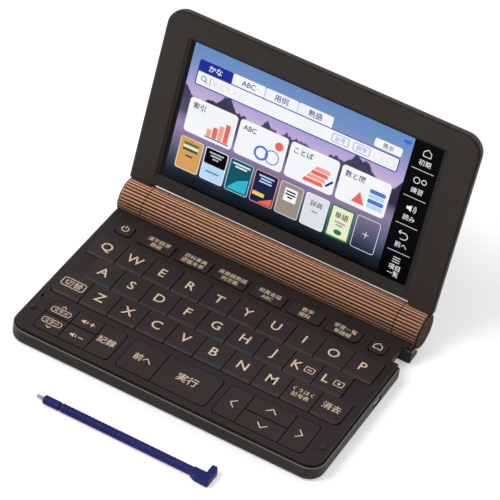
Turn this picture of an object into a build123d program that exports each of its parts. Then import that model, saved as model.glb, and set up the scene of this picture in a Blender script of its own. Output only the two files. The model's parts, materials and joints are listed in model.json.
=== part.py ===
"""Pocket electronic dictionary: keyboard base, barrel hinge, screen lid and stylus.

Each separate piece of the object is built once and written as its own STEP
file in parts/.  Lengths are in millimetres, +X runs to the right along the
keyboard, +Y to the rear and +Z up.  The pieces are first laid out from the
front edge of the base at table level and then moved together, so that the
origin is under the middle of the whole assembly.
"""
from build123d import *
import math
import os

os.makedirs("parts", exist_ok=True)

# ---------------------------------------------------------------- base case
base_width = 146.8          # lower case, side to side
base_corner_radius = 7.5
case_bottom_z = 0.6         # underside of the lower case, above the table
case_rim_z = 7.4            # parting line between the lower and upper case
case_bottom_round = 1.2
case_wall = 1.8
case_floor = 1.4
rim_bevel = 0.3
deck_inset = 1.0            # upper case stands in from the lower case rim
deck_front_y = 0.8
deck_thickness = 1.2
deck_edge_round = 0.4
groove_height = 0.5         # shadow groove along the parting line
groove_depth = 0.7
joint_bite = 0.2            # how far joined shapes of one piece run into each other
fixed_gap = 0.1             # between pieces that stay still
moving_gap = 0.35           # between pieces that move past each other
deck_top_z = case_rim_z + groove_height + deck_thickness

# ----------------------------------------------------------------- keyboard
field_left_margin = 4.4     # from the side of the base to the letter keys
field_right_margin = 5.0
key_pitch = (base_width - field_left_margin - field_right_margin) / 10
row_pitch = 14.3
key_field_left = -base_width / 2 + field_left_margin
key_field_front = 26.4      # front edge of the Z row
key_field_back = key_field_front + 3 * row_pitch
row_stagger = 0.5           # A row, in key pitches
key_gap = 0.4               # between neighbouring key caps
key_edge_gap = 0.35         # between a key cap and the deck
key_height = 0.9            # letter keys stand above the deck
key_top_z = deck_top_z + key_height
key_low_z = case_rim_z + 0.4
facet_run = 1.1             # sloped front facet of a key cap
facet_drop = 0.8
key_edge_round = 0.22
shift_corner = 1.6          # outer corners of the front key row
delete_corner = 2.8
small_key_corner = 0.6
key_travel = 0.6
plunger_radius = 1.8

# row of small keys behind the Q row; places along it are in key pitches
small_key_front = key_field_back + 3.9
small_key_depth = 7.6
small_key_top_z = deck_top_z + 0.7
function_key_width = 1.15 * key_pitch
function_key_pitch = 1.32 * key_pitch
function_key_first_x = key_field_left + 1.668 * key_pitch
power_key_x = key_field_left + 0.503 * key_pitch
home_key_x = key_field_left + 9.461 * key_pitch
round_key_width = 0.557 * key_pitch
round_key_corner = 2.0

# flat keys at the front; places along them are in key pitches
cluster_front = 4.2
cluster_back = key_field_front - 3.85
cluster_top_z = deck_top_z + 0.3
cluster_low_z = case_rim_z + 0.3
cluster_corner = 1.8
font_key_left = key_field_left + 0.373 * key_pitch
volume_key_left = key_field_left + 1.263 * key_pitch
history_key_left = key_field_left + 2.182 * key_pitch
history_key_right = key_field_left + 2.992 * key_pitch
back_key_left = key_field_left + 3.252 * key_pitch
enter_key_left = key_field_left + 4.447 * key_pitch
enter_key_right = key_field_left + 6.342 * key_pitch
left_key_left = key_field_left + 6.574 * key_pitch
updown_key_left = key_field_left + 7.370 * key_pitch
right_key_left = key_field_left + 8.817 * key_pitch
right_key_right = key_field_left + 9.634 * key_pitch
rocker_split_left = 14.4
rocker_split_right = 13.4
rocker_groove = 0.45

# ---------------------------------------------------------------- batteries
cell_diameter = 14.3        # AA size
cell_length = 49.2
cell_tip_diameter = 5.5
cell_tip_length = 1.0
cell_room = 0.25            # around a cell in its bay
bay_radius = cell_diameter / 2 + cell_room
bay_half_length = cell_length + cell_tip_length + 2.8
cover_half_length = bay_half_length + 1.0
cover_low_angle = -86.0     # measured from the rear (+Y) towards +Z
cover_high_angle = 76.0
cover_gap = 0.2

# ------------------------------------------------------------- hinge barrel
barrel_wall = 1.0           # over the ribs
barrel_radius = bay_radius + barrel_wall
barrel_to_keys = 6.8        # from the small keys to the front of the barrel
hinge_y = small_key_front + small_key_depth + barrel_to_keys + barrel_radius
hinge_z = barrel_radius + 2.1
rib_count = 32
rib_height = 0.45
rib_radius = 0.088 * barrel_radius
knuckle_length = 11.0       # ribbed hinge ends that turn with the lid
knuckle_end = base_width / 2 - 0.9
knuckle_start = knuckle_end - knuckle_length
barrel_half_length = knuckle_start - 0.3
cap_end = knuckle_end + 0.8         # domed disc on each hinge end
cap_radius = barrel_radius - 0.3
cap_round = 0.7
pivot_radius = 3.0
pivot_length = 6.0
pivot_fit = 0.05            # radial running fit of the lid pivots
rail_half_length = 48.0
rail_front_y = hinge_y - barrel_radius - 5.3
rail_low_z = 4.7
rail_high_z = 6.9
base_tail_y = hinge_y - 4.4         # rear of the case, under the barrel
cavity_rear_y = hinge_y - barrel_radius - 3.3

# -------------------------------------------------- board, screws and pads
boss_height = 1.4
board_low_z = case_bottom_z + case_floor + boss_height
board_thickness = 1.0
board_side_room = 1.7       # from the walls of the lower case
dome_height = 0.6
dome_top_z = board_low_z + board_thickness + dome_height
dome_radius = 2.2
plunger_low_z = dome_top_z + key_travel + 0.1
screw_inset = 13.0          # from the sides of the base
screw_xs = (-base_width / 2 + screw_inset, -1.0, base_width / 2 - screw_inset - 2.0)
screw_ys = (key_field_front - 1.95, key_field_back + 1.65)
screw_head_radius = 1.5
screw_head_height = 0.8
screw_head_low_z = case_bottom_z + 0.1
screw_seat_z = screw_head_low_z + screw_head_height
screw_top_z = case_rim_z - 1.0
screw_shank_radius = 0.8
screw_room = 0.2
cross_slot_depth = 0.3
cross_slot_width = 0.3
post_radius = 1.3
boss_radius = 3.0
foot_radius = 4.0
foot_xs = (-base_width / 2 + 13.0, base_width / 2 - 17.0)
foot_ys = (10.0, hinge_y - 16.0)
foot_recess = 0.4
bumper_radius = 1.3
bumper_sink = 0.6           # set this deep into the deck
bumper_top_z = key_top_z + 0.1
bumper_spots = ((-base_width / 2 + 4.0, 13.8), (base_width / 2 - 4.6, 12.5))
microphone_x = -base_width / 2 + 3.6
microphone_y = 22.0
microphone_width = 0.8
microphone_length = 2.4
microphone_depth = 0.9

# ---------------------------------------------------------- stylus and holder
stylus_radius = 1.95
tip_radius = 0.8
tip_length = 3.3
collar_length = 7.6
collar_groove = 1.0
collar_groove_depth = 0.7
grip_length = 26.0
grip_pitch = 1.6
grip_ring = 0.6             # width of each ring groove
grip_depth = 0.2
head_length = 8.6
head_bulge = 3.3            # from the stylus axis to the outside of the head
head_tab = 6.6              # from the stylus axis to the end of the thumb tab
head_tab_width = 3.2
head_corner = 0.6
head_edge = 0.4
stylus_axis_y = -22.8       # where it lies in front of the base
stylus_tip_x = -43.8
channel_room = 0.3
channel_wall = 1.6          # open groove under the right side of the base
channel_x = base_width / 2 - channel_wall - channel_room - stylus_radius
channel_left = channel_x - stylus_radius - channel_room
channel_right = channel_x + stylus_radius + channel_room
channel_top_z = case_bottom_z + 2 * stylus_radius + 1.1
channel_roof_z = channel_top_z + 1.0
tip_channel_front_y = 2.2   # leaves a wall at the rounded front corner
tip_channel_radius = tip_radius + channel_room
channel_front_y = 5.4
notch_rear_y = hinge_y - barrel_radius - 3.0
notch_front_y = notch_rear_y - 11.2
notch_left = channel_x - 0.7
stylus_length = notch_rear_y - tip_channel_front_y - 2 * channel_room
window_front_y = 50.7
window_rear_y = 57.2
window_low_z = 2.0
window_high_z = 5.2
window_wall = 0.8
window_run = 5.0            # open room behind the window, further to the rear

# ---------------------------------------------------------------------- lid
lid_lean = 14.6             # rest position, leaning back from upright
lid_half_width = base_width / 2 + 0.6
lid_top = hinge_y - 3.7     # from the hinge axis to the top edge
lid_bottom = barrel_radius + 1.1
lid_corner_radius = 8.5
lid_arm_start = knuckle_start + 0.5         # inner side of the two hinge arms
lid_arm_bottom = barrel_radius - 1.5
lid_arm_round = 2.5
arm_seat = 0.02             # the arms stop this far from the hinge ends
lid_shell = 1.3
display_thickness = 1.9
display_room = 0.3          # between the display and the back shell
panel_thickness = 0.8
bezel_thickness = 1.1
lid_thickness = bezel_thickness + panel_thickness + display_thickness + display_room + lid_shell
lid_gap = 0.4               # between the bezel and the key tops when closed
lid_face = hinge_z - key_top_z - lid_gap    # front of the bezel, from the hinge axis
lid_back = lid_face - lid_thickness
lid_rim = lid_face - 0.8    # front of the rear cover's rim
lid_back_round = 2.4
lid_cavity_margin = 3.1     # from the outside of the cover to its hollow
lid_cavity_low = 2.0        # the same at the lower edge
lid_cavity_corner = 2.0
lip_gap = 0.15              # between the bezel's inner lip and the hollow
bezel_inset = 0.8           # from the edges of the rear cover
bezel_edge = 0.3
bezel_drop = 0.4            # its lower edge stands back from the rear cover's
bezel_back = lid_face - bezel_thickness
window_left = -lid_half_width + 11.2
window_right = lid_half_width - 13.25
window_bottom = lid_bottom + 3.45
window_top = lid_top - 10.2
window_outer = (window_left, window_right, window_bottom, window_top)
window_inner = (window_left + 1.9, window_right - 2.0, window_bottom + 2.5, window_top - 1.1)
window_lip = lid_face - 0.7
panel_margin = 1.6
display_margin = 0.4


def block(x0, x1, y0, y1, z0, z1):
    """Box between two corners."""
    return Pos((x0 + x1) / 2, (y0 + y1) / 2, (z0 + z1) / 2) * Box(x1 - x0, y1 - y0, z1 - z0)


def plate(outline, z0, z1):
    """Flat sketch raised from z0 to z1."""
    return Pos(0, 0, z0) * extrude(outline, z1 - z0)


def rounded(x0, x1, y0, y1, radii):
    """Rectangle with its own radius at each corner.

    radii are for the front-left, front-right, rear-right and rear-left corner.
    """
    corners = ((x0, y0, 1, 1), (x1, y0, -1, 1), (x1, y1, -1, -1), (x0, y1, 1, -1))
    shape = Pos((x0 + x1) / 2, (y0 + y1) / 2) * Rectangle(x1 - x0, y1 - y0)
    for (cx, cy, sx, sy), r in zip(corners, radii):
        if r > 0:
            square = Pos(cx + sx * r / 2, cy + sy * r / 2) * Rectangle(r, r)
            shape -= square - Pos(cx + sx * r, cy + sy * r) * Circle(r)
    return shape


def rod(x0, x1, y, z, r):
    """Cylinder along X."""
    return Pos((x0 + x1) / 2, y, z) * Rot(0, 90, 0) * Cylinder(r, x1 - x0)


def ribbed_rod(x0, x1):
    """Length of the barrel's outside shape, with its lengthwise ribs."""
    section = Circle(barrel_radius - rib_height)
    for i in range(rib_count):
        angle = 360 * i / rib_count
        section += Rot(0, 0, angle) * Pos(barrel_radius - rib_radius, 0) * Circle(rib_radius)
    solid = extrude(section, x1 - x0)
    return Pos(x0, hinge_y, hinge_z) * Rot(0, 90, 0) * solid


def wedge(x0, x1, low_angle, high_angle):
    """Pie slice around the barrel axis, from low_angle to high_angle."""
    points = [(0, 0)]
    radius = 2 * barrel_radius
    steps = 24
    for i in range(steps + 1):
        a = math.radians(low_angle + (high_angle - low_angle) * i / steps)
        points.append((radius * math.cos(a), radius * math.sin(a)))
    points.append((0, 0))
    face = make_face(Polyline(points))
    placed = Plane(origin=(x0, hinge_y, hinge_z), x_dir=(0, 1, 0), z_dir=(1, 0, 0)) * face
    return extrude(placed, x1 - x0)


# ------------------------------------------------------------ key positions
def key_table():
    """Every key: name -> (x0, x1, y0, y1, top z, low z, corner radii, kind)."""
    keys = {}
    rows = (("qwertyuiop", 2, 0.0), ("asdfghjkl", 1, row_stagger), ("zxcvbnm", 0, 1.0))
    for letters, row, shift in rows:
        y0 = key_field_front + row * row_pitch
        for i, letter in enumerate(letters):
            x0 = key_field_left + (shift + i) * key_pitch
            keys["key_" + letter] = (x0, x0 + key_pitch, y0, y0 + row_pitch,
                                     key_top_z, key_low_z, (0, 0, 0, 0), "faceted")
    y0 = key_field_front
    wide = (("key_shift", 0, (shift_corner, 0, 0, 0)), ("key_space", 8, (0, 0, 0, 0)),
            ("key_delete", 9, (0, delete_corner, 0, 0)))
    for name, column, radii in wide:
        x0 = key_field_left + column * key_pitch
        keys[name] = (x0, x0 + key_pitch, y0, y0 + row_pitch, key_top_z, key_low_z, radii, "faceted")
    y0 = small_key_front
    y1 = small_key_front + small_key_depth
    for i in range(6):
        x = function_key_first_x + i * function_key_pitch
        r = small_key_corner
        radii = (r, delete_corner, r, r) if i == 5 else (r, r, r, r)
        keys["key_function_%d" % (i + 1)] = (x - function_key_width / 2, x + function_key_width / 2,
                                             y0, y1, small_key_top_z, key_low_z, radii, "plain")
    for name, x in (("key_power", power_key_x), ("key_home", home_key_x)):
        r = round_key_corner
        keys[name] = (x - round_key_width / 2, x + round_key_width / 2, y0, y1,
                      small_key_top_z, key_low_z, (r, r, r, r), "plain")
    c = cluster_corner
    flat = (("key_font_size", font_key_left, volume_key_left, (c, 0, 0, c), "rocker_left"),
            ("key_volume", volume_key_left, history_key_left, (0, 0, 0, 0), "rocker_left"),
            ("key_history", history_key_left, history_key_right, (0, c, c, 0), "plain"),
            ("key_back", back_key_left, enter_key_left, (c, 0, 0, c), "plain"),
            ("key_enter", enter_key_left, enter_key_right, (0, c, c, 0), "plain"),
            ("key_left", left_key_left, updown_key_left, (c, 0, 0, c), "plain"),
            ("key_up_down", updown_key_left, right_key_left, (0, 0, 0, 0), "rocker_right"),
            ("key_right", right_key_left, right_key_right, (0, c, c, 0), "plain"))
    for name, x0, x1, radii, kind in flat:
        keys[name] = (x0, x1, cluster_front, cluster_back, cluster_top_z, cluster_low_z, radii, kind)
    return keys


keys = key_table()


def key_cap(cell):
    """One key cap with the plunger under it."""
    x0, x1, y0, y1, top, low, radii, kind = cell
    g = key_gap / 2
    x0, x1, y0, y1 = x0 + g, x1 - g, y0 + g, y1 - g
    shape = plate(rounded(x0, x1, y0, y1, radii), low, top)
    if kind == "faceted":
        cut = Plane(origin=(x0 - 1, 0, 0), x_dir=(0, 1, 0), z_dir=(1, 0, 0)) * make_face(Polyline(
            (y0 - 1, top + 1), (y0 + facet_run, top + 1), (y0 + facet_run, top),
            (y0, top - facet_drop), (y0 - 1, top - facet_drop), (y0 - 1, top + 1)))
        shape -= extrude(cut, x1 - x0 + 2)
    upper = top - facet_drop - 0.01 if kind == "faceted" else top - 0.01
    rim = [edge for edge in shape.edges() if edge.bounding_box().min.Z > upper]
    shape = fillet(rim, key_edge_round)
    if kind.startswith("rocker"):
        split = rocker_split_left if kind == "rocker_left" else rocker_split_right
        cut = Plane(origin=(x0 - 1, 0, 0), x_dir=(0, 1, 0), z_dir=(1, 0, 0)) * make_face(Polyline(
            (split - rocker_groove, top + 0.01), (split + rocker_groove, top + 0.01),
            (split, top - 2 * rocker_groove), (split - rocker_groove, top + 0.01)))
        shape -= extrude(cut, x1 - x0 + 2)
        for y in ((y0 + split) / 2, (y1 + split) / 2):
            shape += Pos((x0 + x1) / 2, y, 0) * plate(Circle(plunger_radius), plunger_low_z, low)
        return shape
    shape += Pos((x0 + x1) / 2, (y0 + y1) / 2, 0) * plate(Circle(plunger_radius), plunger_low_z, low)
    return shape


def plunger_spots():
    """Centres of all the plungers, where the board carries its domes."""
    spots = []
    for x0, x1, y0, y1, top, low, radii, kind in keys.values():
        if kind.startswith("rocker"):
            split = rocker_split_left if kind == "rocker_left" else rocker_split_right
            spots.append(((x0 + x1) / 2, (y0 + split) / 2))
            spots.append(((x0 + x1) / 2, (y1 + split) / 2))
        else:
            spots.append(((x0 + x1) / 2, (y0 + y1) / 2))
    return spots


# --------------------------------------------------------------- base parts
def barrel_clearance():
    """Room around the barrel: close to its fixed part, wider at the moving ends."""
    middle = rod(-knuckle_start, knuckle_start, hinge_y, hinge_z, barrel_radius + fixed_gap)
    ends = rod(knuckle_start - moving_gap, cap_end + 5, hinge_y, hinge_z, barrel_radius + moving_gap)
    ends += rod(-cap_end - 5, -knuckle_start + moving_gap, hinge_y, hinge_z, barrel_radius + moving_gap)
    return middle + ends


def lower_case():
    """Tray with the stylus channel along its right side and the screw bosses."""
    r = base_corner_radius
    half = base_width / 2
    outline = rounded(-half, half, 0, base_tail_y, (r, r, 1, 1))
    body = plate(outline, case_bottom_z, case_rim_z)
    body = fillet(body.faces().sort_by(Axis.Z)[0].edges(), case_bottom_round)
    body = chamfer(body.faces().sort_by(Axis.Z)[-1].edges(), rim_bevel)
    cavity = rounded(-half + case_wall, channel_left - 1.0, case_wall, cavity_rear_y, (r - 1.8, 1, 1, 1))
    body -= plate(cavity, case_bottom_z + case_floor, case_rim_z + 5)
    for x in screw_xs:
        for y in screw_ys:
            body += Pos(x, y, 0) * plate(Circle(boss_radius), case_bottom_z + case_floor - joint_bite, board_low_z)
            body -= Pos(x, y, 0) * plate(Circle(screw_head_radius + screw_room), 0, screw_seat_z)
            body -= Pos(x, y, 0) * plate(Circle(screw_shank_radius + screw_room), 0, board_low_z + 1)
    for x in foot_xs:
        for y in foot_ys:
            body -= Pos(x, y, 0) * plate(Circle(foot_radius), 0, case_bottom_z + foot_recess)
    body -= block(channel_left, channel_right, channel_front_y, notch_rear_y, -1, channel_top_z)
    tip_end_y = tip_channel_front_y + tip_channel_radius
    body -= block(channel_x - tip_channel_radius, channel_x + tip_channel_radius,
                  tip_end_y, channel_front_y + 1, -1, channel_top_z)
    body -= Pos(channel_x, tip_end_y, 0) * plate(Circle(tip_channel_radius), -1, channel_top_z)
    body -= block(channel_left - 1.5, half - case_wall, base_corner_radius, notch_front_y,
                  channel_roof_z, case_rim_z + 5)
    body -= block(notch_left, half + 5, notch_front_y, notch_rear_y, -1, case_rim_z + 5)
    body -= block(channel_right - 1, half + 5, window_front_y, window_rear_y, window_low_z, window_high_z)
    body -= block(channel_right - 1, half - window_wall, window_front_y, window_rear_y + window_run,
                  -1, window_high_z)
    body -= block(-rail_half_length - fixed_gap, rail_half_length + fixed_gap, rail_front_y - 1, base_tail_y,
                  rail_low_z - fixed_gap, case_rim_z + 5)
    body -= barrel_clearance()
    return body


def upper_case():
    """Keyboard deck with its key openings and the screw posts under it."""
    r = base_corner_radius - deck_inset
    half = base_width / 2 - deck_inset
    top = plate(rounded(-half, half, deck_front_y, base_tail_y, (r, r, 1, 1)),
                case_rim_z + groove_height, deck_top_z)
    top = fillet(top.faces().sort_by(Axis.Z)[-1].edges(), deck_edge_round)
    g = groove_depth
    low = plate(rounded(-half + g, half - g, deck_front_y + g, base_tail_y, (r - g, r - g, 1, 1)),
                case_rim_z, case_rim_z + groove_height)
    body = top + low
    e = key_edge_gap - key_gap / 2
    field_right = key_field_left + 10 * key_pitch
    row_a = key_field_left + row_stagger * key_pitch
    y0 = key_field_front
    field = rounded(key_field_left - e, field_right + e, y0 - e, y0 + row_pitch + e,
                    (shift_corner, delete_corner, 0, 0))
    field += rounded(row_a - e, row_a + 9 * key_pitch + e, y0, y0 + 2 * row_pitch + e, (0, 0, 0, 0))
    field += rounded(key_field_left - e, field_right + e, y0 + 2 * row_pitch - e, y0 + 3 * row_pitch + e,
                     (0, 0, 0, 0))
    body -= plate(field, 0, deck_top_z + 1)
    for name, (x0, x1, ky0, ky1, ktop, klow, radii, kind) in keys.items():
        if kind == "plain" and ky0 == small_key_front:
            body -= plate(rounded(x0 - e, x1 + e, ky0 - e, ky1 + e, radii), 0, deck_top_z + 1)
    c = cluster_corner
    groups = ((font_key_left, history_key_right), (back_key_left, enter_key_right), (left_key_left, right_key_right))
    for x0, x1 in groups:
        body -= plate(rounded(x0 - e, x1 + e, cluster_front - e, cluster_back + e, (c, c, c, c)), 0, deck_top_z + 1)
    for x in screw_xs:
        for y in screw_ys:
            body += Pos(x, y, 0) * plate(Circle(post_radius), board_low_z, case_rim_z + 0.3)
            body -= Pos(x, y, 0) * plate(Circle(screw_shank_radius), 0, case_rim_z)
    for x, y in bumper_spots:
        body -= Pos(x, y, 0) * plate(Circle(bumper_radius), deck_top_z - bumper_sink, deck_top_z + 1)
    w, l = microphone_width / 2, microphone_length / 2
    body -= block(microphone_x - w, microphone_x + w, microphone_y - l, microphone_y + l,
                  deck_top_z - microphone_depth, deck_top_z + 1)
    body -= plate(rounded(notch_left, half + 5, notch_front_y, notch_rear_y, (1.2, 0, 0, 1.2)), 0, deck_top_z + 1)
    body -= barrel_clearance()
    return body


def hinge_barrel():
    """Fixed ribbed tube between the hinge ends; it holds the two cells."""
    body = ribbed_rod(-barrel_half_length, barrel_half_length)
    body += block(-rail_half_length, rail_half_length, rail_front_y, hinge_y - 5, rail_low_z, rail_high_z)
    body -= rod(-bay_half_length, bay_half_length, hinge_y, hinge_z, bay_radius)
    body -= wedge(-cover_half_length - cover_gap, cover_half_length + cover_gap,
                  cover_low_angle, cover_high_angle)
    for side in (-1, 1):
        x0, x1 = sorted((side * (barrel_half_length + 1), side * (barrel_half_length - pivot_length - 0.3)))
        body -= rod(x0, x1, hinge_y, hinge_z, pivot_radius + pivot_fit)
    return body


def battery_cover():
    """Rear part of the barrel over the cells, which comes off to the rear."""
    edge_angle = math.degrees(cover_gap / barrel_radius)
    body = ribbed_rod(-cover_half_length, cover_half_length)
    body -= rod(-base_width, base_width, hinge_y, hinge_z, bay_radius)
    return body & wedge(-cover_half_length, cover_half_length,
                        cover_low_angle + edge_angle, cover_high_angle - edge_angle)


def batteries():
    """Two AA cells end to end."""
    cells = []
    for x0 in (-cell_length - cell_tip_length - 0.1, 0.1):
        cell = rod(x0, x0 + cell_length, hinge_y, hinge_z, cell_diameter / 2)
        cell += rod(x0 + cell_length, x0 + cell_length + cell_tip_length, hinge_y, hinge_z, cell_tip_diameter / 2)
        cells.append(cell)
    return cells


def main_board():
    """Circuit board with a contact dome under every key."""
    outline = rounded(-base_width / 2 + case_wall + board_side_room, channel_left - 2.0,
                      case_wall + board_side_room + 0.1, rail_front_y - 0.6, (3, 1, 1, 1))
    body = plate(outline, board_low_z, board_low_z + board_thickness)
    for x in screw_xs:
        for y in screw_ys:
            body -= Pos(x, y, 0) * plate(Circle(post_radius + 0.3), 0, 8)
    for x, y in plunger_spots():
        body += Pos(x, y, 0) * plate(Circle(dome_radius), board_low_z + board_thickness - joint_bite, dome_top_z)
    return body


def case_screws():
    """Six screws that hold the two halves of the base together."""
    screws = []
    for x in screw_xs:
        for y in screw_ys:
            screw = plate(Circle(screw_head_radius), screw_head_low_z, screw_seat_z)
            screw += plate(Circle(screw_shank_radius), screw_seat_z, screw_top_z)
            slot = screw_head_radius - 0.5
            w = cross_slot_width / 2
            z = screw_head_low_z + cross_slot_depth
            screw -= block(-w, w, -slot, slot, 0, z) + block(-slot, slot, -w, w, 0, z)
            screws.append(Pos(x, y, 0) * screw)
    return screws


def rubber_pads():
    """Four feet under the base and the two small lid bumpers on the deck."""
    pads = []
    for x in foot_xs:
        for y in foot_ys:
            foot = plate(Circle(foot_radius), 0, case_bottom_z + foot_recess)
            pads.append(Pos(x, y, 0) * chamfer(foot.faces().sort_by(Axis.Z)[0].edges(), 0.25))
    for x, y in bumper_spots:
        pad = plate(Circle(bumper_radius), deck_top_z - bumper_sink, bumper_top_z)
        pads.append(Pos(x, y, 0) * fillet(pad.faces().sort_by(Axis.Z)[-1].edges(), 0.4))
    return pads


# ---------------------------------------------------------------- lid parts
lid_place = Pos(0, hinge_y, hinge_z) * Rot(90 - lid_lean, 0, 0)


def barrel_room():
    """Space of the barrel in the lid's own directions, with its axis at the origin."""
    return Rot(0, 90, 0) * Cylinder(barrel_radius + arm_seat, 2 * base_width)


def lid_rear_cover():
    """Back shell of the lid with the two arms that reach down to the hinge ends."""
    r = lid_corner_radius
    w = lid_half_width
    outline = rounded(-w, w, lid_arm_bottom, lid_top, (lid_arm_round, lid_arm_round, r, r))
    outline -= rounded(-lid_arm_start, lid_arm_start, lid_arm_bottom - 1, lid_bottom, (0, 0, 0, 0))
    body = plate(outline, lid_back, lid_rim)
    body = fillet(body.faces().sort_by(Axis.Z)[0].edges(), lid_back_round)
    body = chamfer(body.faces().sort_by(Axis.Z)[-1].edges(), rim_bevel)
    m = lid_cavity_margin
    c = lid_cavity_corner
    cavity = rounded(-w + m, w - m, lid_bottom + lid_cavity_low, lid_top - m, (c, c, r - m, r - m))
    body -= plate(cavity, lid_back + lid_shell, lid_face)
    return lid_place * (body - barrel_room())


def window_solid(front, back):
    """Bevelled opening between two rectangles of the bezel window."""
    def rect(edges, z):
        x0, x1, y0, y1 = edges
        return Pos((x0 + x1) / 2, (y0 + y1) / 2, z) * Rectangle(x1 - x0, y1 - y0)
    return loft([rect(window_outer, front), rect(window_inner, back)])


def lid_bezel():
    """Front frame around the screen."""
    r = lid_corner_radius - bezel_inset
    w = lid_half_width - bezel_inset
    arm = lid_arm_round - bezel_inset
    outline = rounded(-w, w, lid_arm_bottom + bezel_inset, lid_top - bezel_inset, (arm, arm, r, r))
    between_arms = lid_arm_start + bezel_inset
    outline -= rounded(-between_arms, between_arms, lid_arm_bottom, lid_bottom + bezel_drop, (0, 0, 0, 0))
    face = plate(outline, lid_rim, lid_face) - barrel_room()
    face = chamfer(face.faces().sort_by(Axis.Z)[-1].edges(), bezel_edge)
    m = lid_cavity_margin + lip_gap
    r = lid_corner_radius - m
    c = lid_cavity_corner
    lip = rounded(-lid_half_width + m, lid_half_width - m, lid_bottom + lid_cavity_low + lip_gap, lid_top - m,
                  (c, c, r, r))
    body = face + plate(lip, bezel_back, lid_rim)
    body -= window_solid(lid_face, window_lip)
    x0, x1, y0, y1 = window_inner
    body -= block(x0, x1, y0, y1, bezel_back - 1, lid_face)
    return lid_place * body


def touch_panel():
    """Glass touch panel behind the bezel window."""
    x0, x1, y0, y1 = window_inner
    m = panel_margin
    outline = rounded(x0 - m, x1 + m, y0 - m, y1 + m, (1, 1, 1, 1))
    return lid_place * plate(outline, bezel_back - panel_thickness, bezel_back)


def display_module():
    """Display and its backlight frame behind the touch panel."""
    x0, x1, y0, y1 = window_inner
    m = display_margin
    z = bezel_back - panel_thickness
    return lid_place * block(x0 - m, x1 + m, y0 - m, y1 + m, z - display_thickness, z)


def hinge_knuckles():
    """Two ribbed hinge ends that turn with the lid, each with its pivot and end disc."""
    ends = []
    for side in (-1, 1):
        x0, x1 = sorted((side * knuckle_start, side * knuckle_end))
        body = ribbed_rod(x0, x1)
        x0, x1 = sorted((side * (knuckle_end - 0.5), side * cap_end))
        disc = rod(x0, x1, hinge_y, hinge_z, cap_radius)
        outer = disc.faces().sort_by(Axis.X)[-1 if side > 0 else 0]
        body += fillet(outer.edges(), cap_round)
        x0, x1 = sorted((side * (knuckle_start + 1), side * (barrel_half_length - pivot_length)))
        body += rod(x0, x1, hinge_y, hinge_z, pivot_radius)
        ends.append(body)
    return ends


# ------------------------------------------------------------- stylus parts
def stylus_body():
    """Stylus shaft with collar, ringed grip and the flat head with its thumb tab."""
    x0 = stylus_tip_x + tip_length
    x1 = stylus_tip_x + stylus_length
    z = stylus_radius
    y = stylus_axis_y
    shaft = rod(x0, x1 - head_tab_width, y, z, stylus_radius)
    nose = shaft.faces().sort_by(Axis.X)[0]
    shaft = fillet(nose.edges(), 0.8)
    groove_x = x0 + collar_length
    ring = rod(groove_x, groove_x + collar_groove, y, z, stylus_radius + 1)
    ring -= rod(groove_x, groove_x + collar_groove, y, z, stylus_radius - collar_groove_depth)
    shaft -= ring
    start = groove_x + collar_groove + grip_pitch
    for i in range(int(grip_length / grip_pitch)):
        gx = start + i * grip_pitch
        ring = rod(gx, gx + grip_ring, y, z, stylus_radius + 1)
        ring -= rod(gx, gx + grip_ring, y, z, stylus_radius - grip_depth)
        shaft -= ring
    hx = x1 - head_length
    tab_x = x1 - head_tab_width
    outline = make_face(Polyline(
        (hx, y - stylus_radius), (hx + 2.2, y - head_bulge + 0.3), (x1, y - head_bulge),
        (x1, y + head_tab - 1.6), (x1 - 1.0, y + head_tab), (tab_x, y + head_tab),
        (tab_x, y + stylus_radius - 0.2), (hx, y + stylus_radius - 0.2), (hx, y - stylus_radius)))
    outer = [corner for corner in outline.vertices() if corner.X > tab_x - 0.1 and abs(corner.Y - y) > stylus_radius]
    outline = fillet(outer, head_corner)
    head = plate(outline, 0.05, 2 * stylus_radius - 0.05)
    head = chamfer(head.faces().sort_by(Axis.Z)[-1].edges(), head_edge)
    head = chamfer(head.faces().sort_by(Axis.Z)[0].edges(), head_edge)
    head = head & block(hx - 5, x1 + 5, y - 20, y + 20, 0, 2 * stylus_radius)
    body = shaft + head
    body -= rod(x0 - 1, x0 + 3, y, z, tip_radius)
    return body


def stylus_tip():
    """Hard writing tip, set into the collar."""
    x0 = stylus_tip_x
    tip = rod(x0, x0 + tip_length + 3, stylus_axis_y, stylus_radius, tip_radius)
    return fillet(tip.faces().sort_by(Axis.X)[0].edges(), 0.5)


# ------------------------------------------------------------------- output
pieces = {
    "lower_case": lower_case(),
    "upper_case": upper_case(),
    "hinge_barrel": hinge_barrel(),
    "battery_cover": battery_cover(),
    "batteries": batteries(),
    "main_board": main_board(),
    "case_screws": case_screws(),
    "rubber_pads": rubber_pads(),
    "hinge_knuckles": hinge_knuckles(),
    "lid_rear_cover": lid_rear_cover(),
    "lid_bezel": lid_bezel(),
    "touch_panel": touch_panel(),
    "display_module": display_module(),
    "stylus_body": stylus_body(),
    "stylus_tip": stylus_tip(),
}
for key_name, key_cell in keys.items():
    pieces[key_name] = key_cap(key_cell)


def as_shape(piece):
    """One shape for a piece, or a group of separate solids."""
    if isinstance(piece, list):
        solids = [s for part in piece for s in part.solids()]
    else:
        solids = list(piece.solids())
    return solids[0] if len(solids) == 1 else Compound(solids)


shapes = {name: as_shape(piece) for name, piece in pieces.items()}
whole = Compound([solid for shape in shapes.values() for solid in shape.solids()])
bounds = whole.bounding_box()
origin_x = (bounds.min.X + bounds.max.X) / 2
origin_y = (bounds.min.Y + bounds.max.Y) / 2
origin_z = bounds.min.Z
for name, shape in shapes.items():
    export_step(Pos(-origin_x, -origin_y, -origin_z) * shape, "parts/%s.step" % name)
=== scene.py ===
"""Electronic dictionary: finishes, printed legends, lit screen, studio and camera.

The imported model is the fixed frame.  This script dresses each of its nodes, prints the
legends on the keys, lights the screen, and sets a plain pale studio round the object.
Everything is in metres in the frame of the model; sizes are written in millimetres.
"""

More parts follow.
